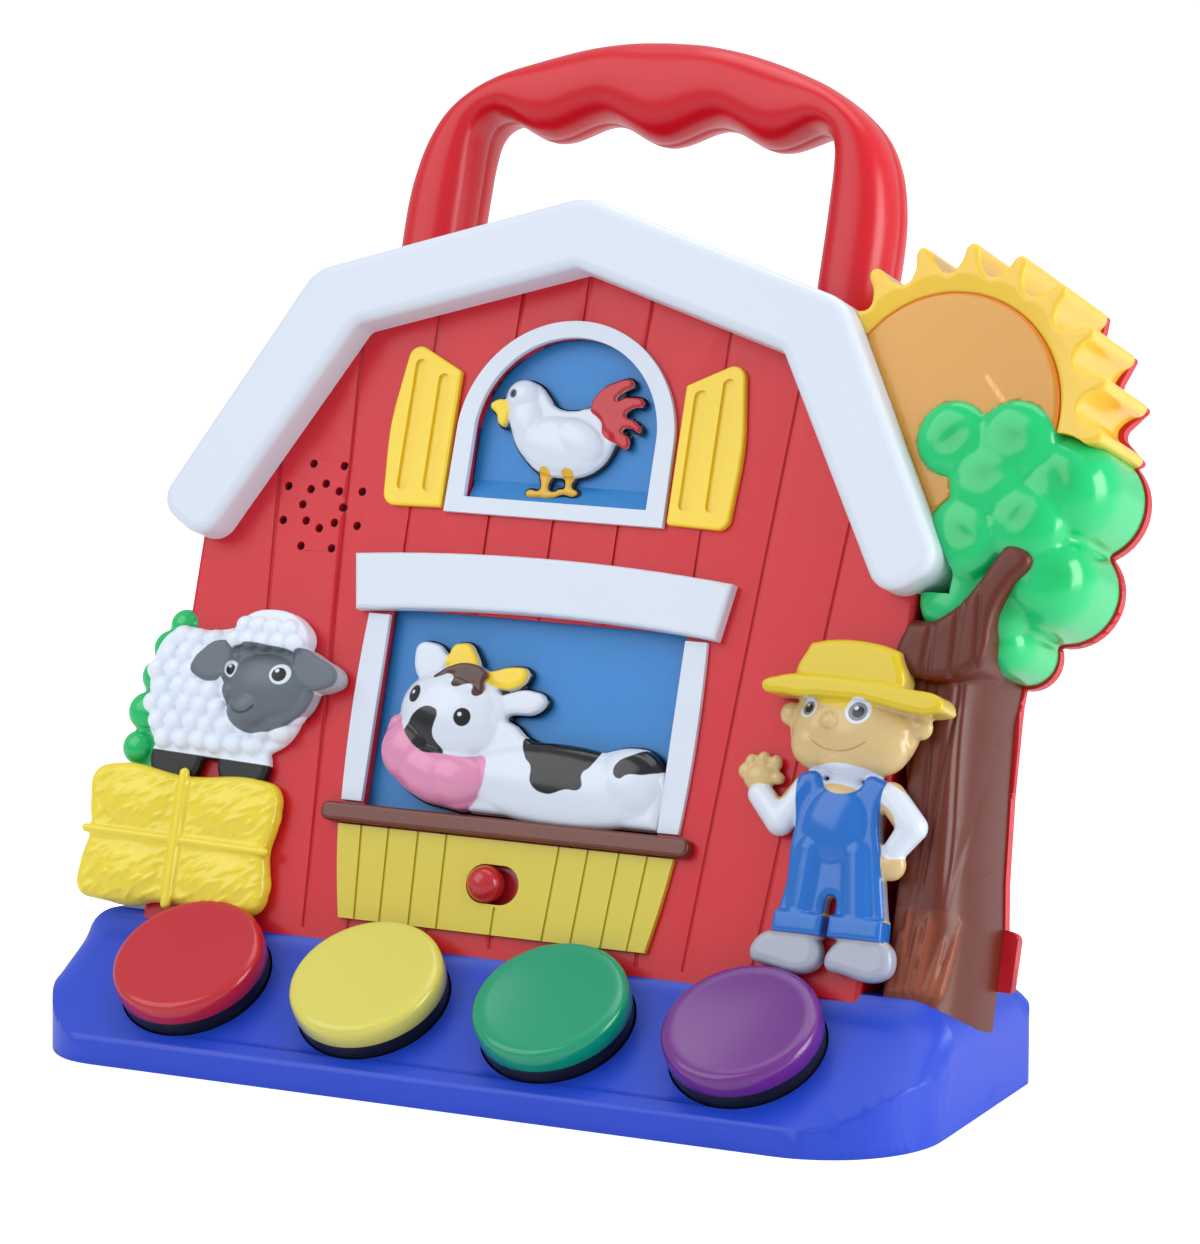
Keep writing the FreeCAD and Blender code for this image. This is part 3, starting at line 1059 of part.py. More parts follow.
def makeDoor():
    door = slab(doorOutline(), backFace, backFace + size("doorThick"))
    ribs = [slab(strip(u, trayLow + 4, u, trayHigh - 4, 1.2), backFace + size("doorThick") - 0.1,
                 backFace + size("doorThick") + 0.5) for u in (-20.0, 0.0, 20.0)]
    door = door.fuse(fused(ribs))
    grips = [slab(strip(-9.0, v, 9.0, v, 1.4), backFace - 0.1, backFace + 0.6) for v in (20.0, 23.0, 26.0)]
    for grip in grips:
        door = door.cut(grip)
    door = door.cut(tube(*doorScrewPlace, size("screwRadius") + 0.2, backFace - 1, backFace + 5))
    return door.removeSplitter()


moulded("battery_door", makeDoor())


def screw(u, v, headLow, length):
    # a pan head with a cross recess, its shank going into the shell
    head = rounded(tube(u, v, size("headRadius"), headLow, headLow + 1.6), 0.5, headLow)
    for turn in (0, 90):
        slot = Part.makeBox(3.2, 0.7, 0.9, vec(-1.6, -0.35, -0.01))
        slot.rotate(vec(0, 0, 0), vec(0, 0, 1), turn)
        slot.translate(vec(u, v, headLow))
        head = head.cut(slot)
    return head.fuse(tube(u, v, size("screwRadius"), headLow + 1.6, headLow + 1.6 + length))


moulded("door_screw", screw(*doorScrewPlace, backFace - 1.6, 9.0))
moulded("housing_screws", Part.makeCompound([screw(u, v, backFace + 4.4, 17.0) for u, v in housingScrews]))


def uprightScrew(x, y, headLow, length):
    head = rounded(Part.makeCylinder(size("headRadius"), 1.0, vec(x, y, headLow)), 0.4, headLow)
    return head.fuse(Part.makeCylinder(size("screwRadius"), length, vec(x, y, headLow + 1.0)))


moulded("plate_screws", Part.makeCompound([uprightScrew(x, y, 0.1, 7.0) for x, y in plateScrews]),
        FreeCAD.Placement())
moulded("barn_screws", Part.makeCompound([uprightScrew(x, y, 23.2, 7.6) for x, y in barnScrews]),
        FreeCAD.Placement())

doc.recompute()

# every object has to be sound, and every piece a closed solid, before anything is written
for item in doc.Objects:
    if "Invalid" in item.State or "Error" in item.State:
        raise RuntimeError(f"{item.Label} did not recompute: {item.State}")
names = [item.Label for item in parts]
if len(set(names)) != len(names):
    raise RuntimeError("two pieces share a name")
os.makedirs("parts", exist_ok=True)
for item in parts:
    shape = item.Shape
    if shape.isNull() or not shape.isValid() or not shape.Solids:
        raise RuntimeError(f"{item.Label} has no sound solid")
    shape.exportStep(os.path.join("parts", f"{item.Label}.step"))
print(len(parts), "pieces written")
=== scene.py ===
import math

import bmesh
import bpy
import numpy as np
from mathutils import Matrix, Vector


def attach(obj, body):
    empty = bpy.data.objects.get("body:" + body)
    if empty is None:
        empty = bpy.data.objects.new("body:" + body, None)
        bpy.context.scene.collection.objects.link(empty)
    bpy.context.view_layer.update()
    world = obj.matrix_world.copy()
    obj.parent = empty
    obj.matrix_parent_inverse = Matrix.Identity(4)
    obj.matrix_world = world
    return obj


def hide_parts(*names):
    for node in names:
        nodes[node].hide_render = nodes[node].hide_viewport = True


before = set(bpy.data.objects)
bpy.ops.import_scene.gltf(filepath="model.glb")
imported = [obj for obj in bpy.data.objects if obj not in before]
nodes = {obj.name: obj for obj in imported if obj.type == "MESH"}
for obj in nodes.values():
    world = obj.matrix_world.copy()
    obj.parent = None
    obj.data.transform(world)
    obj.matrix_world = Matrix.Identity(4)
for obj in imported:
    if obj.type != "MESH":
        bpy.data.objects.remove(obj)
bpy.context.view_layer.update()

scene = bpy.context.scene
millimetre = 0.001

# the barn wall leans back; u runs right along it, v up it and n out of it, in millimetres
wall = {"lean": 19.74, "foot": 30.07}
wallTurn = Matrix.Rotation(math.radians(90 - wall["lean"]), 4, "X")
wallPlace = Matrix.Translation((0, 0, wall["foot"] * millimetre)) @ wallTurn @ Matrix.Scale(millimetre, 4)
slope = {"angle": 31.9, "y": -14.7, "z": 17.96, "pitch": 47.0, "shift": 1.2}


def slopePlace(x):
    spot = Matrix.Translation((x * millimetre, slope["y"] * millimetre, slope["z"] * millimetre))
    return spot @ Matrix.Rotation(math.radians(slope["angle"]), 4, "X") @ Matrix.Scale(millimetre, 4)


# camera at the photograph's place

view = {"place": (0.523225, -1.02361, 0.318822), "down": 10.49, "turn": 25.81, "lens": 148.89}
cameraData = bpy.data.cameras.new("photoView")
cameraData.lens = view["lens"]
cameraData.sensor_width = 36
cameraData.clip_end = 20
camera = bpy.data.objects.new("photoView", cameraData)
camera.location = view["place"]
camera.rotation_euler = (math.radians(90 - view["down"]), 0, math.radians(view["turn"]))
scene.collection.objects.link(camera)
scene.camera = camera
print("camera placed")

# node helpers


def addNode(tree, kind, column, row, **values):
    node = tree.nodes.new(kind)
    node.location = (column * 200, -row * 170)
    for key, value in values.items():
        if key in node.inputs:
            node.inputs[key].default_value = value
        else:
            setattr(node, key, value)
    return node


def newGroup(name, inputs, outputs):
    group = bpy.data.node_groups.new(name, "ShaderNodeTree")
    for label, kind, value in inputs:
        socket = group.interface.new_socket(label, in_out="INPUT", socket_type=kind)
        if value is not None:
            socket.default_value = value
    for label, kind in outputs:
        group.interface.new_socket(label, in_out="OUTPUT", socket_type=kind)
    return group, addNode(group, "NodeGroupInput", -4, 0), addNode(group, "NodeGroupOutput", 4, 0)


def linkAll(tree, pairs):
    for source, target in pairs:
        tree.links.new(source, target)


def makePlasticGroup():
    # moulded plastic: fine spark grain, soft flow marks and faint handling scuffs
    group, start, end = newGroup(
        "mouldedPlastic",
        [("Vector", "NodeSocketVector", None), ("Colour", "NodeSocketColor", (1, 1, 1, 1)),
         ("Roughness", "NodeSocketFloat", 0.3), ("Grain Size", "NodeSocketFloat", 2600.0),
         ("Flow", "NodeSocketFloat", 0.06), ("Scuffs", "NodeSocketFloat", 0.1)],
        [("Colour", "NodeSocketColor"), ("Roughness", "NodeSocketFloat"), ("Height", "NodeSocketFloat")])
    grain = addNode(group, "ShaderNodeTexNoise", -2, 0, Detail=2.0)
    flow = addNode(group, "ShaderNodeTexNoise", -2, 1, Scale=24.0, Detail=3.0)
    scratchTurn = addNode(group, "ShaderNodeMapping", -3, 2, Scale=(900, 60, 260), Rotation=(0.4, 0.7, 0.3))
    scratch = addNode(group, "ShaderNodeTexNoise", -2, 2, Scale=1.0, Detail=4.0)
    scratchEdge = addNode(group, "ShaderNodeMapRange", -1, 2)
    scratchEdge.inputs["From Min"].default_value = 0.62
    scratchEdge.inputs["From Max"].default_value = 0.72
    flowShift = addNode(group, "ShaderNodeMath", -1, 1, operation="SUBTRACT")
    flowShift.inputs[1].default_value = 0.5
    flowAmount = addNode(group, "ShaderNodeMath", 0, 1, operation="MULTIPLY")
    bright = addNode(group, "ShaderNodeMath", 1, 1, operation="ADD")
    bright.inputs[1].default_value = 1.0
    tint = addNode(group, "ShaderNodeHueSaturation", 2, 0)
    scuffAmount = addNode(group, "ShaderNodeMath", 0, 2, operation="MULTIPLY")
    roughFlow = addNode(group, "ShaderNodeMath", 1, 2, operation="ADD")
    roughSum = addNode(group, "ShaderNodeMath", 2, 2, operation="ADD")
    linkAll(group, [
        (start.outputs["Vector"], grain.inputs["Vector"]), (start.outputs["Vector"], flow.inputs["Vector"]),
        (start.outputs["Vector"], scratchTurn.inputs["Vector"]),
        (scratchTurn.outputs[0], scratch.inputs["Vector"]),
        (start.outputs["Grain Size"], grain.inputs["Scale"]),
        (scratch.outputs[0], scratchEdge.inputs["Value"]),
        (flow.outputs[0], flowShift.inputs[0]), (flowShift.outputs[0], flowAmount.inputs[0]),
        (start.outputs["Flow"], flowAmount.inputs[1]), (flowAmount.outputs[0], bright.inputs[0]),
        (bright.outputs[0], tint.inputs["Value"]), (start.outputs["Colour"], tint.inputs["Color"]),
        (tint.outputs[0], end.inputs["Colour"]), (scratchEdge.outputs[0], scuffAmount.inputs[0]),
        (start.outputs["Scuffs"], scuffAmount.inputs[1]), (flowAmount.outputs[0], roughFlow.inputs[0]),
        (scuffAmount.outputs[0], roughFlow.inputs[1]), (roughFlow.outputs[0], roughSum.inputs[0]),
        (start.outputs["Roughness"], roughSum.inputs[1]), (roughSum.outputs[0], end.inputs["Roughness"]),
        (grain.outputs[0], end.inputs["Height"])])
    return group


def makePaintGroup():
    # painted patch: a distance field turned into a crisp edge that wavers a little, as a mask spray does
    group, start, end = newGroup(
        "paintPatch",
        [("Vector", "NodeSocketVector", None), ("Distance", "NodeSocketFloat", 0.0),
         ("Softness", "NodeSocketFloat", 0.12), ("Waver", "NodeSocketFloat", 0.1)],
        [("Mask", "NodeSocketFloat")])
    waver = addNode(group, "ShaderNodeTexNoise", -2, 1, Scale=900.0, Detail=2.0)
    shift = addNode(group, "ShaderNodeMath", -1, 1, operation="SUBTRACT")
    shift.inputs[1].default_value = 0.5
    amount = addNode(group, "ShaderNodeMath", 0, 1, operation="MULTIPLY")
    moved = addNode(group, "ShaderNodeMath", 1, 0, operation="ADD")
    low = addNode(group, "ShaderNodeMath", 1, 2, operation="MULTIPLY")
    low.inputs[1].default_value = -1.0
    edge = addNode(group, "ShaderNodeMapRange", 2, 0)
    linkAll(group, [
        (start.outputs["Vector"], waver.inputs["Vector"]), (waver.outputs[0], shift.inputs[0]),
        (shift.outputs[0], amount.inputs[0]), (start.outputs["Waver"], amount.inputs[1]),
        (start.outputs["Distance"], moved.inputs[0]), (amount.outputs[0], moved.inputs[1]),
        (moved.outputs[0], edge.inputs["Value"]), (start.outputs["Softness"], low.inputs[0]),
        (low.outputs[0], edge.inputs["From Min"]), (start.outputs["Softness"], edge.inputs["From Max"]),
        (edge.outputs[0], end.inputs["Mask"])])
    return group


plasticGroup = makePlasticGroup()
paintGroup = makePaintGroup()


def shade(red, green, blue):
    # a colour written as it looks on screen
    levels = (red, green, blue)
    return tuple(((c / 255 + 0.055) / 1.055) ** 2.4 if c > 10 else c / 255 / 12.92 for c in levels) + (1,)


def moulded(name, colour, finish, paints=()):
    # paints: (field, colour, softness) laid over the moulded colour in that order
    material = bpy.data.materials.new(name)
    material.use_nodes = True
    tree = material.node_tree
    tree.nodes.clear()
    place = addNode(tree, "ShaderNodeTexCoord", -6, 0)
    plastic = addNode(tree, "ShaderNodeGroup", 0, 0, node_tree=plasticGroup)
    plastic.inputs["Colour"].default_value = colour
    plastic.inputs["Roughness"].default_value = finish.get("roughness", 0.3)
    plastic.inputs["Grain Size"].default_value = finish.get("grainSize", 2600.0)
    plastic.inputs["Flow"].default_value = finish.get("flow", 0.06)
    plastic.inputs["Scuffs"].default_value = finish.get("scuffs", 0.08)
    bump = addNode(tree, "ShaderNodeBump", 1, 2, Strength=finish.get("grain", 0.1))
    bump.inputs["Distance"].default_value = 0.0001
    shader = addNode(tree, "ShaderNodeBsdfPrincipled", 2, 0)
    shader.inputs["IOR"].default_value = finish.get("ior", 1.48)
    shader.inputs["Coat Weight"].default_value = finish.get("coat", 0.0)
    shader.inputs["Coat Roughness"].default_value = finish.get("coatRoughness", 0.1)
    shader.inputs["Subsurface Weight"].default_value = finish.get("inside", 0.0)
    shader.inputs["Subsurface Radius"].default_value = finish.get("insideColour", (1.0, 1.0, 1.0))
    shader.inputs["Subsurface Scale"].default_value = finish.get("insideDepth", 0.002)
    shader.inputs["Transmission Weight"].default_value = finish.get("clear", 0.0)
    shader.inputs["Metallic"].default_value = finish.get("metal", 0.0)
    end = addNode(tree, "ShaderNodeOutputMaterial", 4, 0)
    linkAll(tree, [
        (place.outputs["Object"], plastic.inputs["Vector"]),
        (plastic.outputs["Colour"], shader.inputs["Base Color"]),
        (plastic.outputs["Roughness"], shader.inputs["Roughness"]),
        (plastic.outputs["Height"], bump.inputs["Height"]),
        (bump.outputs[0], shader.inputs["Normal"]), (shader.outputs[0], end.inputs["Surface"])])
    if "cells" in finish:
        # fine cell pattern pressed into the lens
        cells = addNode(tree, "ShaderNodeTexVoronoi", -1, 3, Scale=finish["cells"])
        cellBump = addNode(tree, "ShaderNodeBump", 1, 3, Strength=0.25)
        cellBump.inputs["Distance"].default_value = 0.0002
        linkAll(tree, [(place.outputs["Object"], cells.inputs["Vector"]),
                       (cells.outputs[0], cellBump.inputs["Height"]),
                       (cellBump.outputs[0], bump.inputs["Normal"])])
    below = None
    for step, (field, paint, softness) in enumerate(paints):
        distance = addNode(tree, "ShaderNodeAttribute", -5, step + 1, attribute_name=field)
        patch = addNode(tree, "ShaderNodeGroup", -4, step + 1, node_tree=paintGroup)
        patch.inputs["Softness"].default_value = softness
        layer = addNode(tree, "ShaderNodeMix", -3 + 0.4 * step, step + 1, data_type="RGBA")
        layer.inputs[6].default_value = colour
        layer.inputs[7].default_value = paint
        linkAll(tree, [(place.outputs["Object"], patch.inputs["Vector"]),
                       (distance.outputs["Fac"], patch.inputs["Distance"]),
                       (patch.outputs[0], layer.inputs[0])])
        if below:
            tree.links.new(below, layer.inputs[6])
        below = layer.outputs[2]
    if below:
        tree.links.new(below, plastic.inputs["Colour"])
    return material


# colours and finishes of the plastics

satin = {"roughness": 0.36, "grain": 0.12, "flow": 0.05, "scuffs": 0.1}
gloss = {"roughness": 0.2, "grain": 0.04, "flow": 0.04, "scuffs": 0.05, "coat": 0.2}
barnGloss = {"roughness": 0.3, "grain": 0.05, "flow": 0.05, "scuffs": 0.08}
paintGloss = {"roughness": 0.2, "grain": 0.05, "flow": 0.04, "scuffs": 0.06, "coat": 0.2}
colours = {
    "barnRed": shade(206, 14, 34), "white": shade(213, 222, 235),
    "baseBlue": shade(28, 68, 200), "windowBlue": shade(44, 132, 206), "yellow": shade(242, 208, 44),
    "plankYellow": shade(206, 188, 36), "black": shade(14, 15, 18), "capRed": shade(186, 30, 44),
    "capYellow": shade(212, 204, 92), "capGreen": shade(0, 146, 104), "capPurple": shade(104, 36, 128),
    "skin": shade(208, 180, 126), "pink": shade(218, 140, 178), "sheepGrey": shade(96, 106, 116),
    "leafGreen": shade(0, 200, 116), "bark": shade(94, 30, 10), "sillBrown": shade(102, 40, 26),
    "sunYellow": shade(238, 198, 64), "sunOrange": shade(218, 154, 34), "hay": shade(234, 212, 56),
    "overalls": shade(16, 104, 192), "hair": shade(74, 42, 32), "eyeGrey": shade(90, 96, 104),
    "hatYellow": shade(216, 188, 14), "fleece": shade(226, 236, 249),
}
finishes = {
    "base_blue": moulded("base_blue", colours["baseBlue"], satin),
    "plank_yellow": moulded("plank_yellow", colours["plankYellow"], paintGloss),
    "barn_red": moulded("barn_red", colours["barnRed"], barnGloss),
    "white_plastic": moulded("white_plastic", colours["white"], satin),
    "yellow_plastic": moulded("yellow_plastic", colours["yellow"], paintGloss),
    "window_blue": moulded("window_blue", colours["windowBlue"], satin),
    "black_plastic": moulded("black_plastic", colours["black"], satin),
    "cap_red": moulded("cap_red", colours["capRed"], gloss),
    "cap_yellow": moulded("cap_yellow", colours["capYellow"], gloss),
    "cap_green": moulded("cap_green", colours["capGreen"], gloss),
    "cap_purple": moulded("cap_purple", colours["capPurple"], gloss),
    "sill_brown": moulded("sill_brown", colours["sillBrown"], paintGloss),
    "bark_brown": moulded("bark_brown", colours["bark"],
                          {"roughness": 0.38, "grain": 0.1, "flow": 0.1, "scuffs": 0.1},
                          [("raised", shade(136, 66, 40), 0.4)]),
    "leaf_green": moulded("leaf_green", colours["leafGreen"],
                          dict(gloss, coat=0.3, inside=0.25, insideColour=(0.2, 1.0, 0.4), insideDepth=0.004),
                          # the deep layer is painted shade: a darker green laid round the crown's dents,
                          # where shade falls
                          [("deep", shade(0, 176, 88), 2.6)]),
    "sun_yellow": moulded("sun_yellow", colours["sunYellow"],
                          dict(gloss, inside=0.3, insideColour=(1.0, 0.7, 0.2), insideDepth=0.003)),
    "sun_orange": moulded("sun_orange", colours["sunOrange"],
                          dict(gloss, coat=0.6, inside=0.4, insideColour=(1.0, 0.5, 0.1), insideDepth=0.003,
                               cells=900.0),
                          # the low layer is painted shade and painted reflection: the lens is darker orange
                          # towards the lower right and lighter towards the upper left
                          [("low", shade(208, 142, 10), 24.0), ("rim", shade(236, 122, 20), 0.3),
                           # the streak layer is a painted reflection: a thin light orange line across the
                           # lens
                           ("paintedStreak", shade(246, 186, 84), 0.3)]),
    "hay_yellow": moulded("hay_yellow", colours["hay"], paintGloss),
    "hen_paint": moulded("hen_paint", colours["white"], paintGloss,
                         [("tail", shade(190, 20, 36), 0.1), ("beak", colours["yellow"], 0.1),
                          ("legs", shade(226, 176, 40), 0.1), ("rim", colours["black"], 0.1),
                          ("eyeRing", colours["eyeGrey"], 0.1), ("eye", colours["black"], 0.1)]),
    "cow_paint": moulded("cow_paint", colours["white"], paintGloss,
                         [("patches", colours["black"], 0.12), ("blaze", colours["black"], 0.12),
                          ("muzzle", colours["pink"], 0.12), ("horns", colours["yellow"], 0.12),
                          ("hair", colours["hair"], 0.12), ("rim", colours["black"], 0.12),
                          ("eye", colours["black"], 0.1), ("glint", colours["white"], 0.1)]),
    "sheep_paint": moulded("sheep_paint", colours["fleece"], dict(satin, grain=0.1),
                           [("legs", colours["black"], 0.12), ("face", colours["sheepGrey"], 0.12),
                            ("eyeWhite", colours["white"], 0.1), ("eye", colours["black"], 0.1),
                            ("mouth", shade(60, 66, 74), 0.15), ("glint", colours["white"], 0.1)]),
    "farmer_paint": moulded("farmer_paint", colours["skin"], paintGloss,
                            [("shirt", colours["white"], 0.12), ("overalls", colours["overalls"], 0.12),
                             ("hat", colours["hatYellow"], 0.12), ("eyeWhite", colours["white"], 0.1),
                             ("eyeGrey", shade(120, 126, 132), 0.1), ("eye", colours["black"], 0.1),
                             ("glint", colours["white"], 0.08), ("smile", shade(176, 116, 70), 0.12),
                             # the shoes layer is painted shade: the shoes are the shirt's white, laid on in a
                             # darker grey
                             ("shoes", shade(164, 170, 186), 0.2)]),
    "rubber": moulded("rubber", shade(50, 50, 54), {"roughness": 0.7, "grain": 0.3}),
    "circuit_green": moulded("circuit_green", shade(20, 92, 56), {"roughness": 0.4, "flow": 0.2}),
    "chip_black": moulded("chip_black", shade(26, 26, 30), {"roughness": 0.5, "grain": 0.3}),
    "steel": moulded("steel", shade(186, 188, 192),
                     {"roughness": 0.28, "metal": 1.0, "scuffs": 0.25, "flow": 0.2}),
    "cell_case": moulded("cell_case", shade(60, 96, 140), {"roughness": 0.3, "coat": 0.3}),
    "speaker_metal": moulded("speaker_metal", shade(96, 98, 104),
                             {"roughness": 0.4, "metal": 0.8, "flow": 0.2}),
    "lamp_clear": moulded("lamp_clear", shade(236, 240, 240), {"roughness": 0.08, "clear": 0.7, "flow": 0.2}),
}
print("finishes made")

# every carried-over node gets the finish that its slot names

slotOfNode = {
    "base_shell": "base_blue", "base_plate": "base_blue", "rubber_feet": "rubber",
    "front_housing": "barn_red", "rear_housing": "barn_red", "battery_door": "barn_red",
    "switch_knob": "cap_red",
    "roof_trim": "white_plastic", "arch_frame": "white_plastic", "window_lintel": "white_plastic",
    "window_posts": "white_plastic", "arch_back": "window_blue", "window_back": "window_blue",
    "left_shutter": "yellow_plastic", "right_shutter": "yellow_plastic", "plank_panel": "plank_yellow",
    "window_sill": "sill_brown", "hen": "hen_paint", "cow": "cow_paint", "sheep": "sheep_paint",
    "farmer": "farmer_paint", "bush": "leaf_green", "tree_crown": "leaf_green", "tree_trunk": "bark_brown",
    "hay_bale": "hay_yellow", "sun_rays": "sun_yellow", "sun_disc": "sun_orange",
    "button_board": "circuit_green", "main_board": "circuit_green", "board_chips": "chip_black",
    "button_domes": "rubber", "slide_switch": "steel", "speaker": "speaker_metal", "sun_lamp": "lamp_clear",
    "tree_lamp": "lamp_clear", "batteries": "cell_case", "battery_contacts": "steel", "door_screw": "steel",
    "housing_screws": "steel", "plate_screws": "steel", "barn_screws": "steel",
}
buttonNames = ["red", "yellow", "green", "purple"]
for colour in buttonNames:
    slotOfNode[f"{colour}_cap"] = f"cap_{colour}"
    slotOfNode[f"{colour}_collar"] = "black_plastic"
for label, node in nodes.items():
    for place in node.material_slots:
        place.material = finishes[slotOfNode[label]]
print("carried-over nodes finished")

# modelling helpers, all in wall millimetres


def outlineCurve(corners, smooth=8):
    # closed outline through the corners (u, v); a third value makes a sharp corner
    data = bpy.data.curves.new("outline", "CURVE")
    data.dimensions = "2D"
    data.resolution_u = smooth
    spline = data.splines.new("BEZIER")
    spline.bezier_points.add(len(corners) - 1)
    for point, corner in zip(spline.bezier_points, corners):
        point.co = (corner[0], corner[1], 0)
        kind = "VECTOR" if len(corner) > 2 else "AUTO"
        point.handle_left_type = point.handle_right_type = kind
    spline.use_cyclic_u = True
    return data


def held(name, data):
    holder = bpy.data.objects.new(name, data)
    scene.collection.objects.link(holder)
    return holder


def evaluated(holder):
    # the holder's mesh with its modifiers applied; the holder goes
    bpy.context.view_layer.update()
    mesh = bpy.data.meshes.new_from_object(holder.evaluated_get(bpy.context.evaluated_depsgraph_get()))
    bpy.data.objects.remove(holder)
    return mesh


def asMesh(data):
    return evaluated(held("holder", data))


def meshOf(shape, name):
    mesh = bpy.data.meshes.new(name)
    shape.to_mesh(mesh)
    shape.free()
    return mesh


def addSlab(shape, corners, low, high, edge=0.0, smooth=8, grow=0.0):
    # outline as a plate from low to high with a rounded edge
    data = outlineCurve(corners, smooth)
    data.fill_mode = "BOTH"
    data.extrude = (high - low) / 2 - edge
    data.bevel_depth = edge
    data.bevel_resolution = 3
    data.offset = grow - edge
    mesh = asMesh(data)
    mesh.transform(Matrix.Translation((0, 0, (high + low) / 2)))
    shape.from_mesh(mesh)
    bmesh.ops.remove_doubles(shape, verts=shape.verts[:], dist=0.001)
    bpy.data.meshes.remove(mesh)


def addBlob(shape, centre, radii, turn=0.0, tilt=0.0):
    place = Matrix.Translation(centre) @ Matrix.Rotation(math.radians(turn), 4, "Z")
    place = place @ Matrix.Rotation(math.radians(tilt), 4, "X")
    place = place @ Matrix.Diagonal((*radii, 1))
    bmesh.ops.create_icosphere(shape, subdivisions=4, radius=1.0, matrix=place)


def addBlobs(shape, blobs):
    for blob in blobs:
        addBlob(shape, *blob)


def addLimb(shape, first, second, firstRadius, secondRadius):
    # tapered rod with round ends
    line = Vector(second) - Vector(first)
    turn = line.to_track_quat("Z", "Y").to_matrix().to_4x4()
    place = Matrix.Translation((Vector(first) + Vector(second)) / 2) @ turn
    bmesh.ops.create_cone(shape, cap_ends=True, cap_tris=False, segments=24, radius1=firstRadius,
                          radius2=secondRadius, depth=line.length, matrix=place)
    addBlob(shape, first, (firstRadius,) * 3)
    addBlob(shape, second, (secondRadius,) * 3)


def blended(shape, voxel, rounds, low=None):
    # joins overlapping forms into one skin, as a mould would, and rests it on its back plane
    mesh = meshOf(shape, "blend")
    holder = held("blend", mesh)
    remesh = holder.modifiers.new("skin", "REMESH")
    remesh.mode = "VOXEL"
    remesh.voxel_size = voxel
    soften = holder.modifiers.new("soften", "SMOOTH")
    soften.factor = 0.5
    soften.iterations = rounds
    result = evaluated(holder)
    bpy.data.meshes.remove(mesh)
    if low is not None:
        cut = bmesh.new()
        cut.from_mesh(result)
        parts = cut.verts[:] + cut.edges[:] + cut.faces[:]
        bmesh.ops.bisect_plane(cut, geom=parts, plane_co=(0, 0, low), plane_no=(0, 0, 1), clear_inner=True)
        rims = [edge for edge in cut.edges if edge.is_boundary]
        bmesh.ops.holes_fill(cut, edges=rims, sides=0)
        bmesh.ops.recalc_face_normals(cut, faces=cut.faces[:])
        cut.to_mesh(result)
        cut.free()
    return result


def distanceInside(corners, u, v):
    # distance to a closed outline, positive inside
    mesh = asMesh(outlineCurve(corners))
    ring = np.array([(vert.co.x, vert.co.y) for vert in mesh.vertices])
    bpy.data.meshes.remove(mesh)
    nearest = np.full(len(u), 1e9)
    inside = np.zeros(len(u), bool)
    for (ax, ay), (bx, by) in zip(ring, np.roll(ring, -1, axis=0)):
        dx, dy = bx - ax, by - ay
        along = np.clip(((u - ax) * dx + (v - ay) * dy) / (dx * dx + dy * dy + 1e-12), 0, 1)
        nearest = np.minimum(nearest, (u - ax - along * dx) ** 2 + (v - ay - along * dy) ** 2)
        crosses = (ay > v) != (by > v)
        inside ^= crosses & (u < ax + (v - ay) * dx / (dy if abs(dy) > 1e-12 else 1e-12))
    nearest = np.sqrt(nearest)
    return np.where(inside, nearest, -nearest)


def meshPoints(mesh):
    places = np.empty(len(mesh.vertices) * 3)
    mesh.vertices.foreach_get("co", places)
    return places.reshape(-1, 3)


def pushOut(mesh, change):
    # moves each point out of the wall by what change(u, v, n) gives
    places = meshPoints(mesh)
    places[:, 2] += change(*places.T)
    mesh.vertices.foreach_set("co", places.ravel())


def storeField(mesh, name, values):
    field = mesh.attributes.new(name, "FLOAT", "POINT")
    field.data.foreach_set("value", np.asarray(values, np.float32))


def paintFields(mesh, fields):
    # fields: name -> outlines, or a function of u, v and n
    places = meshPoints(mesh)
    u, v, n = places[:, 0], places[:, 1], places[:, 2]
    for name, outlines in fields.items():
        if callable(outlines):
            values = outlines(u, v, n)
        else:
            values = np.max([distanceInside(corners, u, v) for corners in outlines], axis=0)
        storeField(mesh, name, values)


def roundSpot(centre, radius, stretch=1.0):
    return lambda u, v, n: radius - np.hypot((u - centre[0]), (v - centre[1]) / stretch)


def spots(*items):
    return lambda u, v, n: np.max([roundSpot(*item)(u, v, n) for item in items], axis=0)


def addTurned(shape, profile, steps):
    # closed form turned from a profile of (radius, height)
    verts = [shape.verts.new((radius, 0, height)) for radius, height in profile]
    edges = [shape.edges.new(pair) for pair in zip(verts, verts[1:])]
    bmesh.ops.spin(shape, geom=verts + edges, cent=(0, 0, 0), axis=(0, 0, 1), angle=2 * math.pi,
                   steps=steps, use_merge=True)
    bmesh.ops.remove_doubles(shape, verts=shape.verts[:], dist=0.001)
    bmesh.ops.recalc_face_normals(shape, faces=shape.faces[:])


def finishPiece(mesh, name, slotName, body, replaced, place=wallPlace):
    mesh.transform(place)
    mesh.name = name
    mesh.polygons.foreach_set("use_smooth", [True] * len(mesh.polygons))
    mesh.materials.clear()
    mesh.materials.append(finishes[slotName])
    mesh.update()
    piece = bpy.data.objects.new(name, mesh)
    scene.collection.objects.link(piece)
    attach(piece, body)
    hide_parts(*replaced)
    return piece


# hen in the arch window

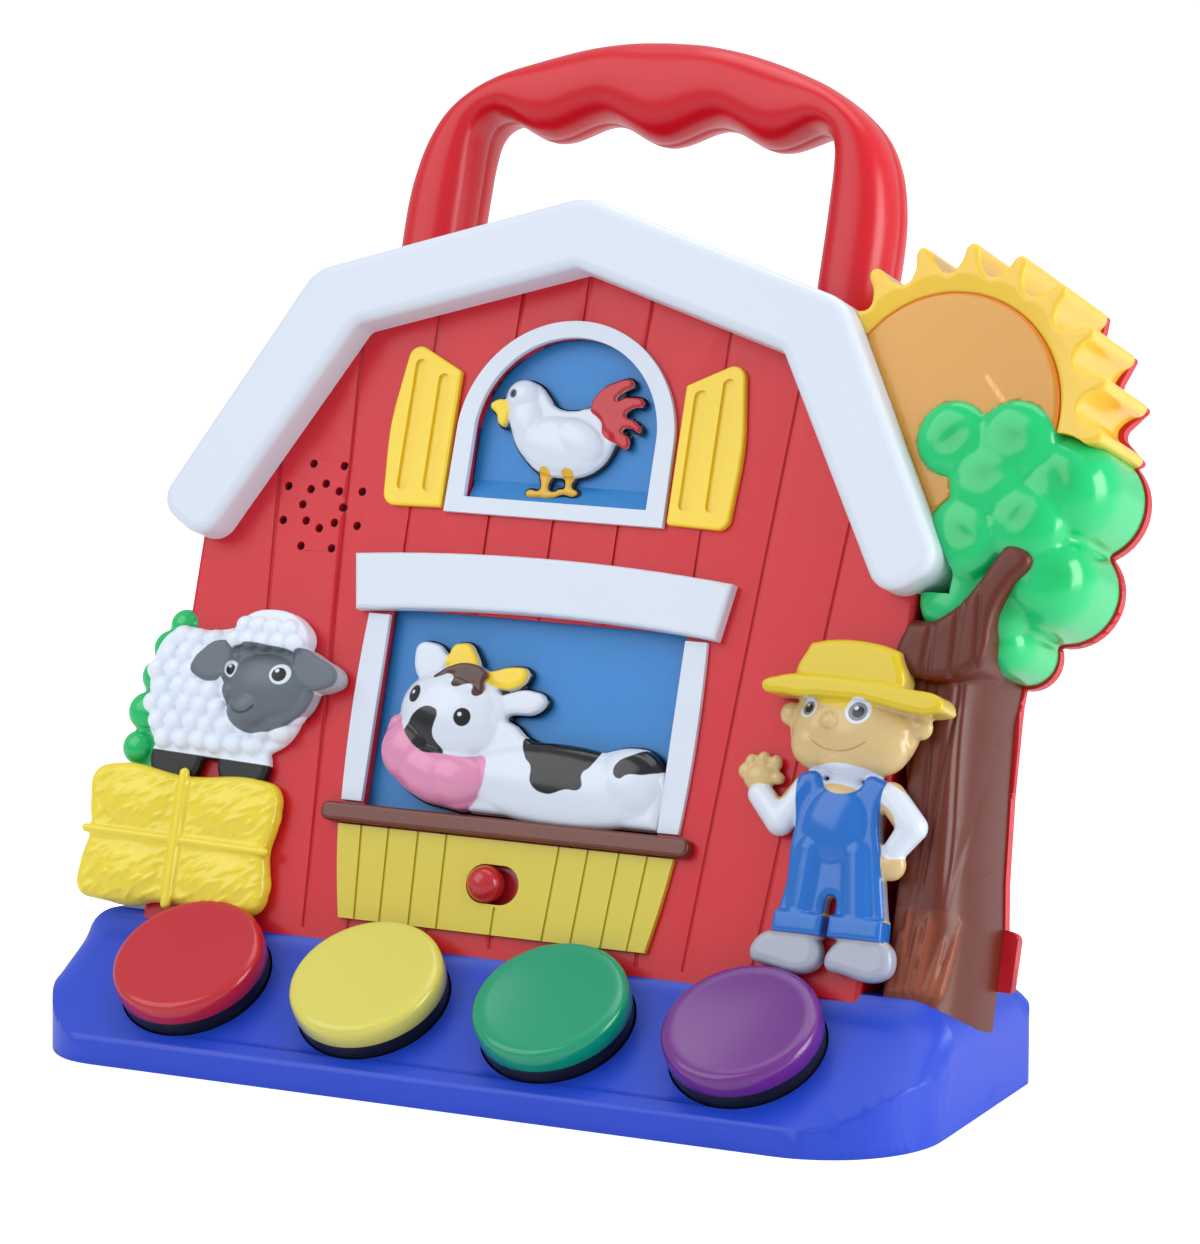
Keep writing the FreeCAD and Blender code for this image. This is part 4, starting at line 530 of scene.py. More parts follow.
hen = {
    "back": -3.0, "voxel": 0.28, "soften": 3,
    "body": [(-16.8, 126.0), (-17.2, 129.5), (-15.9, 131.8), (-13.1, 132.7), (-9.4, 131.9), (-6.5, 129.4),
             (-4.2, 127.0), (1.4, 126.4), (4.6, 127.2), (7.3, 126.1), (9.4, 123.2), (11.9, 121.1),
             (11.6, 117.3), (8.9, 113.3), (4.4, 110.9), (-0.5, 110.5), (-5.6, 111.2), (-10.2, 114.3),
             (-13.3, 117.9), (-15.3, 122.4)],
    "beak": [(-20.9, 126.3), (-19.8, 127.6), (-17.4, 127.9), (-15.9, 126.4), (-15.8, 123.6), (-16.6, 121.7),
             (-18.0, 122.0), (-19.0, 124.2)],
    "tail": [(4.9, 127.4), (6.4, 131.2), (9.3, 133.4), (14.8, 133.8), (12.3, 131.6), (11.0, 129.6),
             (13.4, 130.4), (18.2, 129.1), (15.4, 127.9), (13.9, 126.2), (16.4, 125.0), (18.3, 122.5),
             (15.6, 123.2), (13.6, 122.6), (15.6, 120.8), (15.4, 118.3), (12.8, 119.2), (9.4, 121.0),
             (8.4, 124.0)],
    "legs": [[(-5.6, 112.0), (-3.0, 112.0), (-3.2, 107.4), (-0.4, 106.6), (-2.5, 105.5), (-5.4, 105.5),
              (-8.9, 105.9), (-8.4, 107.0), (-5.5, 107.2)],
             [(0.6, 112.0), (3.2, 112.0), (2.6, 108.4), (4.4, 107.2), (3.8, 106.4), (0.8, 106.6),
              (-1.2, 106.4), (-0.8, 107.6), (0.8, 108.0)]],
    "blobs": [((-1.0, 118.0, -0.4), (11.6, 7.0, 3.4), -8), ((-11.0, 124.0, -0.4), (4.6, 7.4, 2.6), 18),
              ((-12.6, 129.0, -0.2), (4.2, 3.9, 2.8)), ((3.2, 119.2, 0.6), (7.4, 4.8, 2.8), -24)],
}
form = bmesh.new()
addSlab(form, hen["body"], hen["back"], 0.7, 1.2)
addSlab(form, hen["tail"], hen["back"], 0.0, 0.5)
addSlab(form, hen["beak"], hen["back"], 0.6, 0.7)
for outline in hen["legs"]:
    addSlab(form, outline, hen["back"], -0.6, 0.5)
for outline in [hen["body"], hen["tail"], hen["beak"]] + hen["legs"]:
    addSlab(form, outline, hen["back"], -1.3, grow=0.55)
addBlobs(form, hen["blobs"])
henMesh = blended(form, hen["voxel"], hen["soften"], hen["back"])
paintFields(henMesh, {
    "tail": [hen["tail"]], "beak": [hen["beak"]], "legs": hen["legs"],
    "rim": lambda u, v, n: -0.95 - n,
    "eyeRing": roundSpot((-14.4, 129.1), 1.05), "eye": roundSpot((-14.3, 129.1), 0.6)})
finishPiece(henMesh, "hen_figure", "hen_paint", "barn", ["hen"])
print("hen modelled")

# cow looking out of the window

cow = {
    "back": -3.0, "voxel": 0.36, "soften": 4,
    "body": [(-10.0, 31.0), (-8.0, 52.0), (-2.1, 51.5), (1.6, 48.9), (7.8, 47.5), (16.0, 46.5), (21.3, 47.1),
             (28.0, 48.8), (33.4, 48.3), (37.0, 45.2), (38.3, 42.4), (38.0, 30.4, 1), (-10.0, 30.4, 1)],
    "head": [(-27.4, 59.8), (-29.0, 56.0), (-31.4, 51.9), (-32.4, 46.0), (-28.0, 40.0), (-14.0, 36.0),
             (-6.5, 43.0), (-5.0, 50.0), (-4.6, 55.0), (-8.6, 60.0), (-14.0, 62.6), (-21.4, 62.6)],
    "muzzle": [(-31.9, 51.5), (-34.2, 47.0), (-34.0, 42.5), (-30.5, 36.9), (-24.8, 32.9), (-17.4, 31.2),
               (-10.2, 31.1), (-7.1, 35.1), (-6.2, 40.1), (-7.2, 43.2), (-12.0, 42.6), (-17.7, 42.8),
               (-22.1, 42.8), (-26.0, 45.6), (-28.6, 48.6)],
    "leftEar": [(-30.3, 66.6), (-29.2, 68.7), (-26.2, 69.0), (-23.2, 67.7), (-21.5, 64.0), (-26.6, 59.6)],
    "rightEar": [(-7.0, 57.0), (-3.6, 59.1), (1.2, 59.8), (4.9, 58.0), (3.4, 55.2), (-2.4, 54.2),
                 (-6.0, 54.0)],
    "leftHorn": [(-21.4, 63.6), (-21.2, 67.4), (-20.3, 69.0), (-18.6, 69.5), (-16.8, 69.5),
                 (-15.1, 67.9), (-13.7, 63.8)],
    "rightHorn": [(-11.0, 62.2), (-7.7, 64.2), (-4.0, 65.0), (-0.9, 64.6), (-0.5, 63.4), (-2.6, 60.4),
                  (-7.6, 59.8)],
    "hair": [(-22.9, 60.6), (-21.8, 62.3), (-19.0, 63.9), (-16.9, 64.6), (-13.6, 64.6), (-10.4, 63.4),
             (-9.4, 62.2), (-10.0, 60.5), (-9.8, 58.6), (-10.8, 57.0), (-12.0, 57.3), (-12.9, 59.7),
             (-14.5, 59.5), (-16.0, 58.7), (-17.4, 59.0), (-17.9, 61.1), (-19.5, 61.7), (-21.3, 61.0)],
    "blaze": [(-19.9, 53.0), (-27.6, 47.5), (-24.4, 44.0), (-17.4, 42.4), (-19.9, 46.8)],
    "patches": [[(2.0, 49.2), (5.3, 49.0), (21.2, 48.0), (20.6, 43.5), (18.9, 41.5), (19.2, 38.1),
                 (15.3, 37.4), (10.7, 36.0), (6.6, 37.9), (5.6, 42.2), (3.7, 44.0)],
                [(26.8, 42.2), (26.9, 44.6), (29.8, 46.9), (33.8, 48.6), (38.2, 45.2), (34.7, 42.9),
                 (30.0, 42.2), (28.5, 41.2)]],
    "blobs": [((12.0, 38.5, 0.2), (27.0, 9.8, 5.0), -2), ((29.0, 40.5, 0.2), (9.4, 8.4, 4.8), 0),
              ((-18.5, 52.0, 0.0), (13.4, 10.8, 7.0), -14), ((-27.0, 43.2, 1.4), (7.4, 7.8, 5.2), 40),
              ((-14.6, 37.8, 1.4), (8.6, 6.6, 5.4), -6), ((-21.0, 38.8, 1.4), (9.8, 6.8, 5.6), -24)],
}
form = bmesh.new()
addSlab(form, cow["body"], cow["back"], 2.2, 1.8)
addSlab(form, cow["head"], cow["back"], 2.2, 1.6)
addSlab(form, cow["muzzle"], cow["back"], 3.2, 2.0)
for label in ("leftEar", "rightEar", "leftHorn", "rightHorn"):
    addSlab(form, cow[label], cow["back"], 1.4, 0.9)
addSlab(form, cow["hair"], cow["back"], 3.6, 0.8)
for label in ("body", "head", "muzzle", "leftEar", "rightEar", "leftHorn", "rightHorn"):
    addSlab(form, cow[label], cow["back"], -0.9, grow=0.6)
addBlobs(form, cow["blobs"])
cowMesh = blended(form, cow["voxel"], cow["soften"], cow["back"])
paintFields(cowMesh, {
    "patches": cow["patches"], "blaze": [cow["blaze"]], "muzzle": [cow["muzzle"]],
    "horns": [cow["leftHorn"], cow["rightHorn"]], "hair": [cow["hair"]],
    "rim": lambda u, v, n: -0.5 - n,
    "eye": spots(((-26.6, 56.2), 1.65, 1.3), ((-12.9, 51.6), 2.0, 1.08)),
    "glint": spots(((-27.1, 56.6), 0.45), ((-13.5, 52.2), 0.5))})
finishPiece(cowMesh, "cow_figure", "cow_paint", "barn", ["cow"])
print("cow modelled")

# sheep: fleece of small knobs, grey face, black legs

sheep = {
    "voxel": 0.32, "soften": 2, "knob": 2.85, "pitch": 4.7,
    "fleece": [(-98.0, 48.0), (-96.0, 40.5), (-88.0, 36.6), (-76.0, 36.2), (-66.0, 38.0), (-58.0, 44.0),
               (-57.0, 54.0), (-60.0, 64.0), (-72.0, 68.5), (-84.0, 67.0), (-94.0, 66.5), (-98.6, 60.0)],
    "cap": [(-77.0, 64.0), (-74.6, 70.0), (-66.5, 72.8), (-59.0, 70.4), (-56.6, 65.4), (-60.0, 61.6),
            (-68.0, 61.4), (-74.0, 61.8)],
    "face": [(-77.6, 60.0), (-76.8, 54.0), (-74.4, 47.4), (-70.4, 43.4), (-65.0, 43.4), (-58.0, 46.4),
             (-53.6, 51.4), (-53.4, 57.4), (-57.4, 62.2), (-65.0, 63.8), (-73.0, 63.6)],
    "leftEar": [(-86.0, 57.0), (-84.0, 61.4), (-79.0, 64.4), (-75.6, 62.8), (-76.0, 57.6), (-79.0, 54.6),
                (-83.0, 54.6)],
    "rightEar": [(-58.0, 63.6), (-52.6, 62.4), (-46.8, 57.8), (-50.2, 54.8), (-55.4, 54.8), (-58.6, 58.0)],
    "legs": [[(-93.8, 31.4), (-83.0, 31.4), (-83.6, 41.0), (-92.8, 41.0)],
             [(-75.4, 31.4), (-64.8, 31.4), (-65.6, 41.0), (-74.4, 41.0)]],
}


def addKnobs(shape, corners, pitch, radius, level, crown):
    # rows of round knobs inside an outline, each row set off by half a pitch
    us = np.array([corner[0] for corner in corners])
    vs = np.array([corner[1] for corner in corners])
    row = 0
    v = vs.min()
    while v < vs.max():
        line = np.arange(us.min() + (row % 2) * pitch / 2, us.max(), pitch)
        inside = distanceInside(corners, line, np.full(len(line), v))
        for u, depth in zip(line, inside):
            if depth > radius * 0.55:
                wobble = 0.35 * math.sin(u * 3.1 + v * 1.7)
                rise = level + crown * min(1.0, depth / (0.45 * (vs.max() - vs.min())))
                addBlob(shape, (u + wobble, v + wobble * 0.6, rise), (radius, radius * 0.96, radius * 1.05))
        v += pitch * 0.86
        row += 1


form = bmesh.new()
addSlab(form, sheep["fleece"], -0.4, 3.4, 1.6)
addKnobs(form, sheep["fleece"], sheep["pitch"], sheep["knob"], 2.4, 2.2)
addSlab(form, sheep["cap"], -0.4, 6.4, 1.4)
addKnobs(form, sheep["cap"], 3.9, 2.4, 5.8, 1.4)
for outline in sheep["legs"]:
    addSlab(form, outline, -0.4, 3.4, 1.2)
addSlab(form, sheep["face"], -0.4, 6.2, 1.8)
addBlob(form, (-65.6, 54.4, 3.6), (11.2, 8.6, 5.8), 0)
addBlob(form, (-69.0, 48.6, 3.6), (6.6, 5.4, 6.2), 20)
addSlab(form, sheep["leftEar"], -0.4, 7.0, 1.0)
addSlab(form, sheep["rightEar"], -0.4, 6.8, 1.0)
sheepMesh = blended(form, sheep["voxel"], sheep["soften"], -0.2)
paintFields(sheepMesh, {
    "legs": lambda u, v, n: 36.6 - v - 0.04 * (u + 79.0),
    "face": [sheep["face"], sheep["leftEar"], sheep["rightEar"]],
    "eyeWhite": spots(((-75.0, 57.6), 1.7, 1.2), ((-60.9, 57.2), 2.5)),
    "eye": spots(((-75.2, 57.5), 1.1, 1.2), ((-61.1, 57.1), 1.7)),
    "glint": spots(((-75.6, 58.3), 0.4), ((-61.7, 58.0), 0.5)),
    "mouth": lambda u, v, n: 0.28 - np.abs(np.hypot(u + 69.5, v - 50.6) - 3.4) + np.minimum(0, 49.2 - v)})
finishPiece(sheepMesh, "sheep_figure", "sheep_paint", "barn", ["sheep"])
print("sheep modelled")

# green bush behind the sheep

bush = {"voxel": 0.45, "soften": 8,
        "lobes": [(-101.0, 37.6, 4.2), (-100.4, 46.4, 4.8), (-98.6, 55.0, 4.4), (-96.4, 62.0, 4.6),
                  (-93.4, 68.0, 3.9)]}
form = bmesh.new()
for u, v, radius in bush["lobes"]:
    addBlob(form, (u, v, -1.2), (radius, radius, 3.4))
addSlab(form, [(-100.0, 33.4), (-99.0, 50.0), (-95.0, 68.0), (-88.0, 70.0), (-88.0, 33.4)], -4.0, -0.4, 0.6)
bushMesh = blended(form, bush["voxel"], bush["soften"], -4.0)
finishPiece(bushMesh, "bush_lobes", "leaf_green", "barn", ["bush"])

# straw bale: a soft block with two strings and slanted straw ridges

bale = {"voxel": 0.42, "soften": 3, "ridge": 0.38, "rows": 8, "columns": 16, "cross": (-83.6, 15.8)}
form = bmesh.new()
addSlab(form, [(-108.6, 1.6), (-104.0, 0.2), (-84.0, 1.0), (-64.0, -0.2), (-59.4, 2.0), (-58.6, 9.0),
               (-59.6, 15.6), (-58.4, 23.0), (-59.4, 30.6), (-64.0, 32.4), (-84.0, 31.6), (-104.0, 33.0),
               (-109.0, 30.6), (-109.2, 23.0), (-108.0, 16.4), (-109.4, 9.0)], -0.4, 5.2, 2.4)
for u, v in ((-96.0, 8.0), (-96.0, 24.6), (-71.0, 7.6), (-71.0, 24.2)):
    addBlob(form, (u, v, 2.0), (13.0, 8.6, 4.6))
addLimb(form, (-83.4, 0.6, 5.4), (-83.8, 32.0, 5.4), 1.25, 1.25)
addLimb(form, (-108.4, 16.6, 5.0), (-59.4, 15.4, 5.0), 1.05, 1.05)
baleMesh = blended(form, bale["voxel"], bale["soften"], -0.2)


def strawRidges(u, v, n):
    ridges = np.zeros(len(u))
    for row in range(bale["rows"]):
        for column in range(bale["columns"]):
            middleU = -106.0 + 3.1 * column + 1.4 * (row % 2)
            middleV = 2.4 + 3.9 * row + 0.8 * math.sin(column * 2.3 + row)
            turn = math.radians(38 + 14 * math.sin(column * 1.9 + row * 2.7)) * (1 if row % 4 < 2 else 0.8)
            reach = 2.0 + 0.7 * math.sin(column * 3.7 + row * 1.3)
            along = (u - middleU) * math.cos(turn) + (v - middleV) * math.sin(turn)
            across = (v - middleV) * math.cos(turn) - (u - middleU) * math.sin(turn)
            ridge = np.exp(-(across / 0.42) ** 2) * np.clip(1.4 - np.abs(along) / reach, 0, 1)
            ridges = np.maximum(ridges, ridge)
    nearString = np.minimum(np.abs(u - bale["cross"][0]), np.abs(v - bale["cross"][1]))
    return bale["ridge"] * ridges * np.clip((nearString - 1.9) / 1.2, 0, 1) * np.clip((n - 3.4) / 1.6, 0, 1)


pushOut(baleMesh, strawRidges)
finishPiece(baleMesh, "straw_bale", "hay_yellow", "barn", ["hay_bale"])
print("bush and bale modelled")

# farmer doll

farmer = {
    "voxel": 0.4, "soften": 3,
    "crown": [(69.6, 67.4), (71.6, 76.0, 1), (77.0, 77.2), (88.0, 77.0), (93.0, 75.8, 1), (94.8, 67.0)],
    "brim": [(61.8, 65.2), (66.0, 67.8), (74.0, 68.6), (84.0, 68.4), (95.0, 67.6), (106.2, 63.6),
             (104.0, 62.2), (96.0, 62.4), (88.0, 63.6), (78.0, 63.8), (68.0, 63.6)],
    "head": [(68.0, 60.0), (68.6, 53.4), (72.6, 48.4), (79.6, 46.6), (87.4, 46.8), (94.0, 49.4),
             (98.0, 55.0), (98.6, 61.0), (95.0, 66.0), (72.0, 66.0)],
    "overalls": [(71.4, 14.8, 1), (72.6, 22.0), (72.4, 30.0), (72.8, 38.0), (72.0, 46.6, 1), (76.4, 47.4),
                 (79.0, 44.0), (82.6, 42.8), (86.6, 44.0), (88.8, 47.4), (93.6, 46.6, 1), (92.8, 38.0),
                 (94.4, 30.0), (96.0, 22.0), (97.6, 14.8, 1), (85.4, 14.8, 1), (84.0, 20.0), (82.6, 14.8, 1)],
    "shirt": [(73.2, 47.0), (79.0, 49.0), (88.0, 49.0), (94.4, 46.4), (100.4, 42.6), (104.4, 37.0),
              (101.0, 30.8), (94.6, 30.4), (94.8, 34.6), (97.0, 37.4), (93.4, 41.6), (73.0, 41.6),
              (73.6, 36.0), (69.8, 31.2), (64.0, 34.0), (60.0, 41.2), (64.8, 43.4), (68.4, 40.2)],
    "cuffs": [[(71.4, 10.6, 1), (83.2, 10.6, 1), (83.2, 15.6, 1), (71.4, 15.6, 1)],
              [(84.8, 10.6, 1), (97.9, 10.6, 1), (97.6, 15.6, 1), (84.8, 15.6, 1)]],
    "cuffPaint": [[(71.0, 10.6, 1), (83.4, 10.6, 1), (83.4, 15.4, 1), (71.0, 15.4, 1)],
                  [(84.8, 10.6, 1), (98.2, 10.6, 1), (98.2, 15.4, 1), (84.8, 15.4, 1)]],
    "shoes": [[(66.6, 4.4), (70.0, 3.2), (82.0, 3.4), (83.2, 8.0), (80.6, 11.0), (73.0, 11.4), (67.8, 9.4)],
              [(84.8, 4.0), (88.0, 3.0), (99.0, 3.0), (100.6, 7.4), (98.0, 11.2), (90.0, 11.4), (85.6, 8.6)]],
    "face": [((83.0, 57.0, 2.6), (14.6, 9.8, 6.6)), ((75.4, 54.0, 3.2), (6.6, 6.2, 4.8)),
             ((90.6, 54.0, 3.2), (6.8, 6.2, 4.8)), ((81.6, 50.6, 3.4), (5.6, 3.6, 4.6)),
             ((79.4, 58.4, 8.6), (2.0, 1.9, 1.9)), ((67.4, 60.0, 2.4), (2.6, 2.8, 1.9)),
             ((99.2, 59.6, 2.4), (2.6, 2.8, 1.9))],
    "belly": ((82.6, 36.0, 2.0), (9.6, 11.0, 4.8)),
    "legs": [((77.4, 30.0, 1.6), (76.8, 15.0, 0.8), 4.6, 5.2),
             ((88.6, 30.0, 1.6), (91.0, 15.0, 0.8), 4.6, 5.6)],
    "arms": [((73.6, 43.6, 2.4), (68.4, 35.6, 2.4), 3.2, 3.4),
             ((68.4, 35.6, 2.4), (62.8, 41.2, 2.4), 3.4, 3.0),
             ((94.2, 43.6, 2.4), (100.4, 37.2, 2.4), 3.4, 3.4),
             ((100.4, 37.2, 2.4), (97.2, 32.2, 2.4), 3.4, 2.8)],
    "hands": [((61.8, 45.0, 2.2), (3.9, 3.4, 2.4)), ((58.0, 46.2, 2.0), (1.6, 1.9, 1.6)),
              ((59.4, 48.4, 2.0), (1.6, 1.9, 1.6)), ((62.2, 49.2, 2.0), (1.6, 1.9, 1.6)),
              ((65.2, 48.6, 2.0), (1.6, 1.9, 1.6)), ((66.2, 45.2, 2.0), (1.7, 1.5, 1.6)),
              ((96.6, 28.4, 2.4), (3.4, 3.6, 2.5)), ((93.6, 30.2, 2.2), (1.4, 1.8, 1.4))],
}
form = bmesh.new()
addSlab(form, farmer["head"], -0.4, 4.0, 1.6)
addBlobs(form, farmer["face"])
addSlab(form, farmer["crown"], -0.4, 8.0, 1.6)
addSlab(form, farmer["brim"], -0.4, 9.6, 1.2)
addSlab(form, farmer["overalls"], -0.4, 5.0, 1.4)
addBlob(form, *farmer["belly"])
for limb in farmer["legs"]:
    addLimb(form, *limb)
for outline in farmer["cuffs"]:
    addSlab(form, outline, -0.4, 6.4, 0.8)
for limb in farmer["arms"]:
    addLimb(form, *limb)
addBlobs(form, farmer["hands"])
for outline in farmer["shoes"]:
    addSlab(form, outline, -0.4, 5.6, 2.0)
farmerMesh = blended(form, farmer["voxel"], farmer["soften"], -0.2)
paintFields(farmerMesh, {
    # shoes: painted shade, a darker grey in place of the white below 10.4 mm up the wall
    "shirt": [farmer["shirt"]], "shoes": lambda u, v, n: 10.4 - v,
    "overalls": [farmer["overalls"], *farmer["cuffPaint"]],
    "hat": [farmer["crown"], farmer["brim"]],
    "eyeWhite": spots(((73.0, 61.4), 2.3), ((85.8, 61.4), 3.0)),
    "eyeGrey": spots(((73.2, 61.2), 1.7), ((85.8, 61.2), 2.2)),
    "eye": spots(((73.3, 61.2), 1.1), ((85.9, 61.2), 1.4)),
    "glint": spots(((72.8, 62.0), 0.4), ((85.3, 62.0), 0.5)),
    "smile": lambda u, v, n: 0.16 - np.abs(np.hypot(u - 81.6, v - 62.6) - 10.6) + np.minimum(0, 54.6 - v)})
finishPiece(farmerMesh, "farmer_doll", "farmer_paint", "barn", ["farmer"])
print("farmer modelled")

# the barn wall and its roof board, where the tree and the sun end

barnEdge = {
    "wall": [(92.5, -16.0), (92.5, 97.6), (63.0, 147.0), (0.0, 167.5)],
    "roof": [(101.0, 90.4), (101.0, 95.5), (68.4, 154.6), (0.0, 175.8)], "board": -8.05,
    "inside": [(84.0, 90.4)],
}


def cornered(points):
    return [(point[0], point[1], 1) for point in points]


def cutBack(mesh, others=()):
    # takes the room of the wall and the roof board, and other closed forms, away from a closed mesh
    wallTool = bmesh.new()
    addSlab(wallTool, cornered(barnEdge["wall"] + [(-60.0, 150.0), (-60.0, -16.0)]), -60.0, 0.02)
    roofTool = bmesh.new()
    addSlab(roofTool, cornered(barnEdge["inside"] + barnEdge["roof"] + [(-60.0, 150.0), (40.0, 90.4)]),
            barnEdge["board"], 30.0)
    for room in (meshOf(wallTool, "wallRoom"), meshOf(roofTool, "roofRoom"), *others):
        holder = held("cut", mesh)
        cutter = held("room", room)
        cut = holder.modifiers.new("cut", "BOOLEAN")
        cut.operation = "DIFFERENCE"
        cut.solver = "EXACT"
        cut.object = cutter
        left = evaluated(holder)
        bpy.data.objects.remove(cutter)
        bpy.data.meshes.remove(mesh)
        bpy.data.meshes.remove(room)
        mesh = left
    return mesh


def addLoft(shape, rings):
    # closed skin through rings of equally many points
    rows = [[shape.verts.new(point) for point in ring] for ring in rings]
    for lower, upper in zip(rows, rows[1:]):
        for index in range(len(lower)):
            after = (index + 1) % len(lower)
            shape.faces.new((lower[index], lower[after], upper[after], upper[index]))
    shape.faces.new(rows[0][::-1])
    shape.faces.new(rows[-1])
    bmesh.ops.recalc_face_normals(shape, faces=shape.faces[:])


def addDome(shape, centre, radius, low, shoulder, high, fullness):
    # round column up to the shoulder and a swelling dome on it; a larger fullness makes it squarer
    dome = bmesh.new()
    bmesh.ops.create_icosphere(dome, subdivisions=5, radius=1.0)
    for vert in dome.verts:
        power = 2 / fullness if vert.co.z > 0 else 0.1
        across = math.hypot(vert.co.x, vert.co.y)
        spread = across ** power / across if across > 1e-6 else 0.0
        reach = high - shoulder if vert.co.z > 0 else low - shoulder
        vert.co = (centre[0] + vert.co.x * spread * radius, centre[1] + vert.co.y * spread * radius,
                   shoulder + abs(vert.co.z) ** power * reach)
    mesh = meshOf(dome, "dome")
    shape.from_mesh(mesh)
    bpy.data.meshes.remove(mesh)


# tree trunk: half round, with a fork, bark grooves, a slanted root block and moulded grass

trunk = {
    "voxel": 0.5, "soften": 4, "rim": -26.0, "steps": 20,
    "sections": [(-5.0, 97.4, 115.0, -0.9), (18.0, 97.4, 114.4, -0.9), (30.0, 97.0, 112.8, -0.8),
                 (50.0, 95.4, 111.2, -0.6), (66.0, 93.0, 110.3, -0.3), (76.0, 91.6, 110.9, 0.5),
                 (84.0, 93.4, 113.0, 1.4)],
    "fork": [(91.4, 74.0), (92.6, 83.2, 1), (97.2, 83.6), (101.8, 86.0), (105.4, 89.8), (109.0, 95.2),
             (112.4, 101.0), (114.0, 102.4), (118.8, 100.8), (119.6, 98.6), (116.2, 94.0), (113.4, 88.6),
             (112.5, 83.4), (112.4, 79.0), (110.6, 74.0)],
    "block": [(103.0, -26.0), (103.0, -0.8), (107.4, -0.8), (112.0, -11.0), (114.2, -26.0)],
    "grooves": [(96.6, 1.2), (100.2, 0.9), (104.0, 1.3), (107.4, 0.8), (110.4, 1.1)],
    "blades": [((99.0, 1.5), (99.6, 14.0)), ((100.8, 1.5), (101.2, 19.0)), ((103.0, 1.5), (104.0, 15.5)),
               ((105.4, 1.5), (106.2, 18.0)), ((107.6, 1.5), (109.6, 13.5)), ((109.6, 1.5), (111.8, 18.5))],
}


def trunkFront(u, v):
    # how far out the half-round front of the trunk stands
    rows = trunk["sections"]
    heights = [row[0] for row in rows]
    left = np.interp(v, heights, [row[1] for row in rows])
    right = np.interp(v, heights, [row[2] for row in rows])
    front = np.interp(v, heights, [row[3] for row in rows])
    across = np.clip((np.asarray(u, float) - (left + right) / 2) / ((right - left) / 2), -1.0, 1.0)
    reach = np.where(across > 0, (1 - np.abs(across) ** 2.4) ** (1 / 2.4), 1.0)
    return trunk["rim"] + (front - trunk["rim"]) * reach


form = bmesh.new()
rings = []
for v, left, right, front in trunk["sections"]:
    turns = [math.pi / 2 * step / trunk["steps"] for step in range(trunk["steps"] + 1)]
    across = [left, left + 1.2] + [(left + right) / 2 + (right - left) / 2 * math.sin(turn) for turn in turns]
    ring = [(u, v, float(trunkFront(u, v))) for u in across]
    rings.append([(left, v, trunk["rim"] - 2.0)] + ring + [(right, v, trunk["rim"] - 2.0)])
addLoft(form, rings)
addSlab(form, trunk["fork"], -14.0, 4.4, 2.0)
addLimb(form, (104.4, 78.0, 0.4), (114.8, 98.4, 2.0), 3.0, 2.3)
addLoft(form, [[(u, v + 0.1 * (u - 103.0) * lift, n) for u, n in trunk["block"]]
               for v, lift in ((-2.4, 0), (17.4, -0.6))])
for foot, tip in trunk["blades"]:
    start = (foot[0], foot[1], float(trunkFront(*foot)) - 0.5)
    addLimb(form, start, (tip[0], tip[1], float(trunkFront(*tip)) + 0.5), 1.5, 0.35)
trunkMesh = blended(form, trunk["voxel"], trunk["soften"], trunk["rim"])


def barkGrooves(u, v, n):
    groove = np.zeros(len(u))
    for line, depth in trunk["grooves"]:
        bent = line + 1.1 * np.sin(v * 0.06 + line) + 0.035 * (102.0 - line) * np.clip(v - 40.0, 0, 60) * 0.12
        groove = np.maximum(groove, depth * np.exp(-((u - bent) / 0.5) ** 2))
    groove *= np.clip((n + 20.0) / 4.0, 0, 1) * np.clip((v - 20.0) / 10.0, 0, 1)
    return -0.55 * groove * np.clip((96.0 - v) / 10.0, 0, 1)


pushOut(trunkMesh, barkGrooves)
trunkMesh = cutBack(trunkMesh)
paintFields(trunkMesh, {
    "raised": lambda u, v, n: np.min([n - trunkFront(u, v) - 0.2, 19.5 - v, 111.8 - u], axis=0)})
finishPiece(trunkMesh, "tree_trunk_bark", "bark_brown", "barn", ["tree_trunk"])
print("trunk modelled")

# crown of the tree: one swelling mass of clear green plastic with soft dents

crown = {
    "voxel": 0.6, "soften": 14, "rim": -26.0,
    "lobes": [(96.6, 125.6, 9.3, -0.4, 4.8, 2.5), (111.4, 126.0, 10.0, -0.4, 4.8, 2.5),
              (106.4, 116.2, 9.8, 0.0, 4.9, 2.3), (121.5, 117.6, 12.8, -11.0, 3.4, 2.5),
              (115.6, 108.2, 9.6, -1.0, 4.9, 2.3), (102.6, 104.2, 10.0, -1.0, 4.4, 2.5),
              (119.0, 97.0, 12.0, -12.0, 2.0, 2.5), (111.5, 81.8, 7.0, -14.0, -2.6, 2.4),
              (110.4, 90.0, 8.4, -5.0, 0.6, 2.5), (100.6, 89.4, 8.0, -3.0, 2.2, 2.5)],
    "dents": [(97.3, 125.4, 0.5, 40), (111.6, 126.0, 0.45, -20), (106.6, 117.4, 0.4, 10),
              (123.6, 118.4, 0.6, -50), (115.8, 109.0, 0.4, 60), (102.6, 103.6, 0.45, -30),
              (125.4, 97.0, 0.5, 30), (114.6, 88.4, 0.4, -15)],
}
form = bmesh.new()
for u, v, radius, shoulder, high, fullness in crown["lobes"]:
    addDome(form, (u, v), radius, crown["rim"] - 1.0, shoulder, high, fullness)
crownMesh = blended(form, crown["voxel"], crown["soften"], crown["rim"])


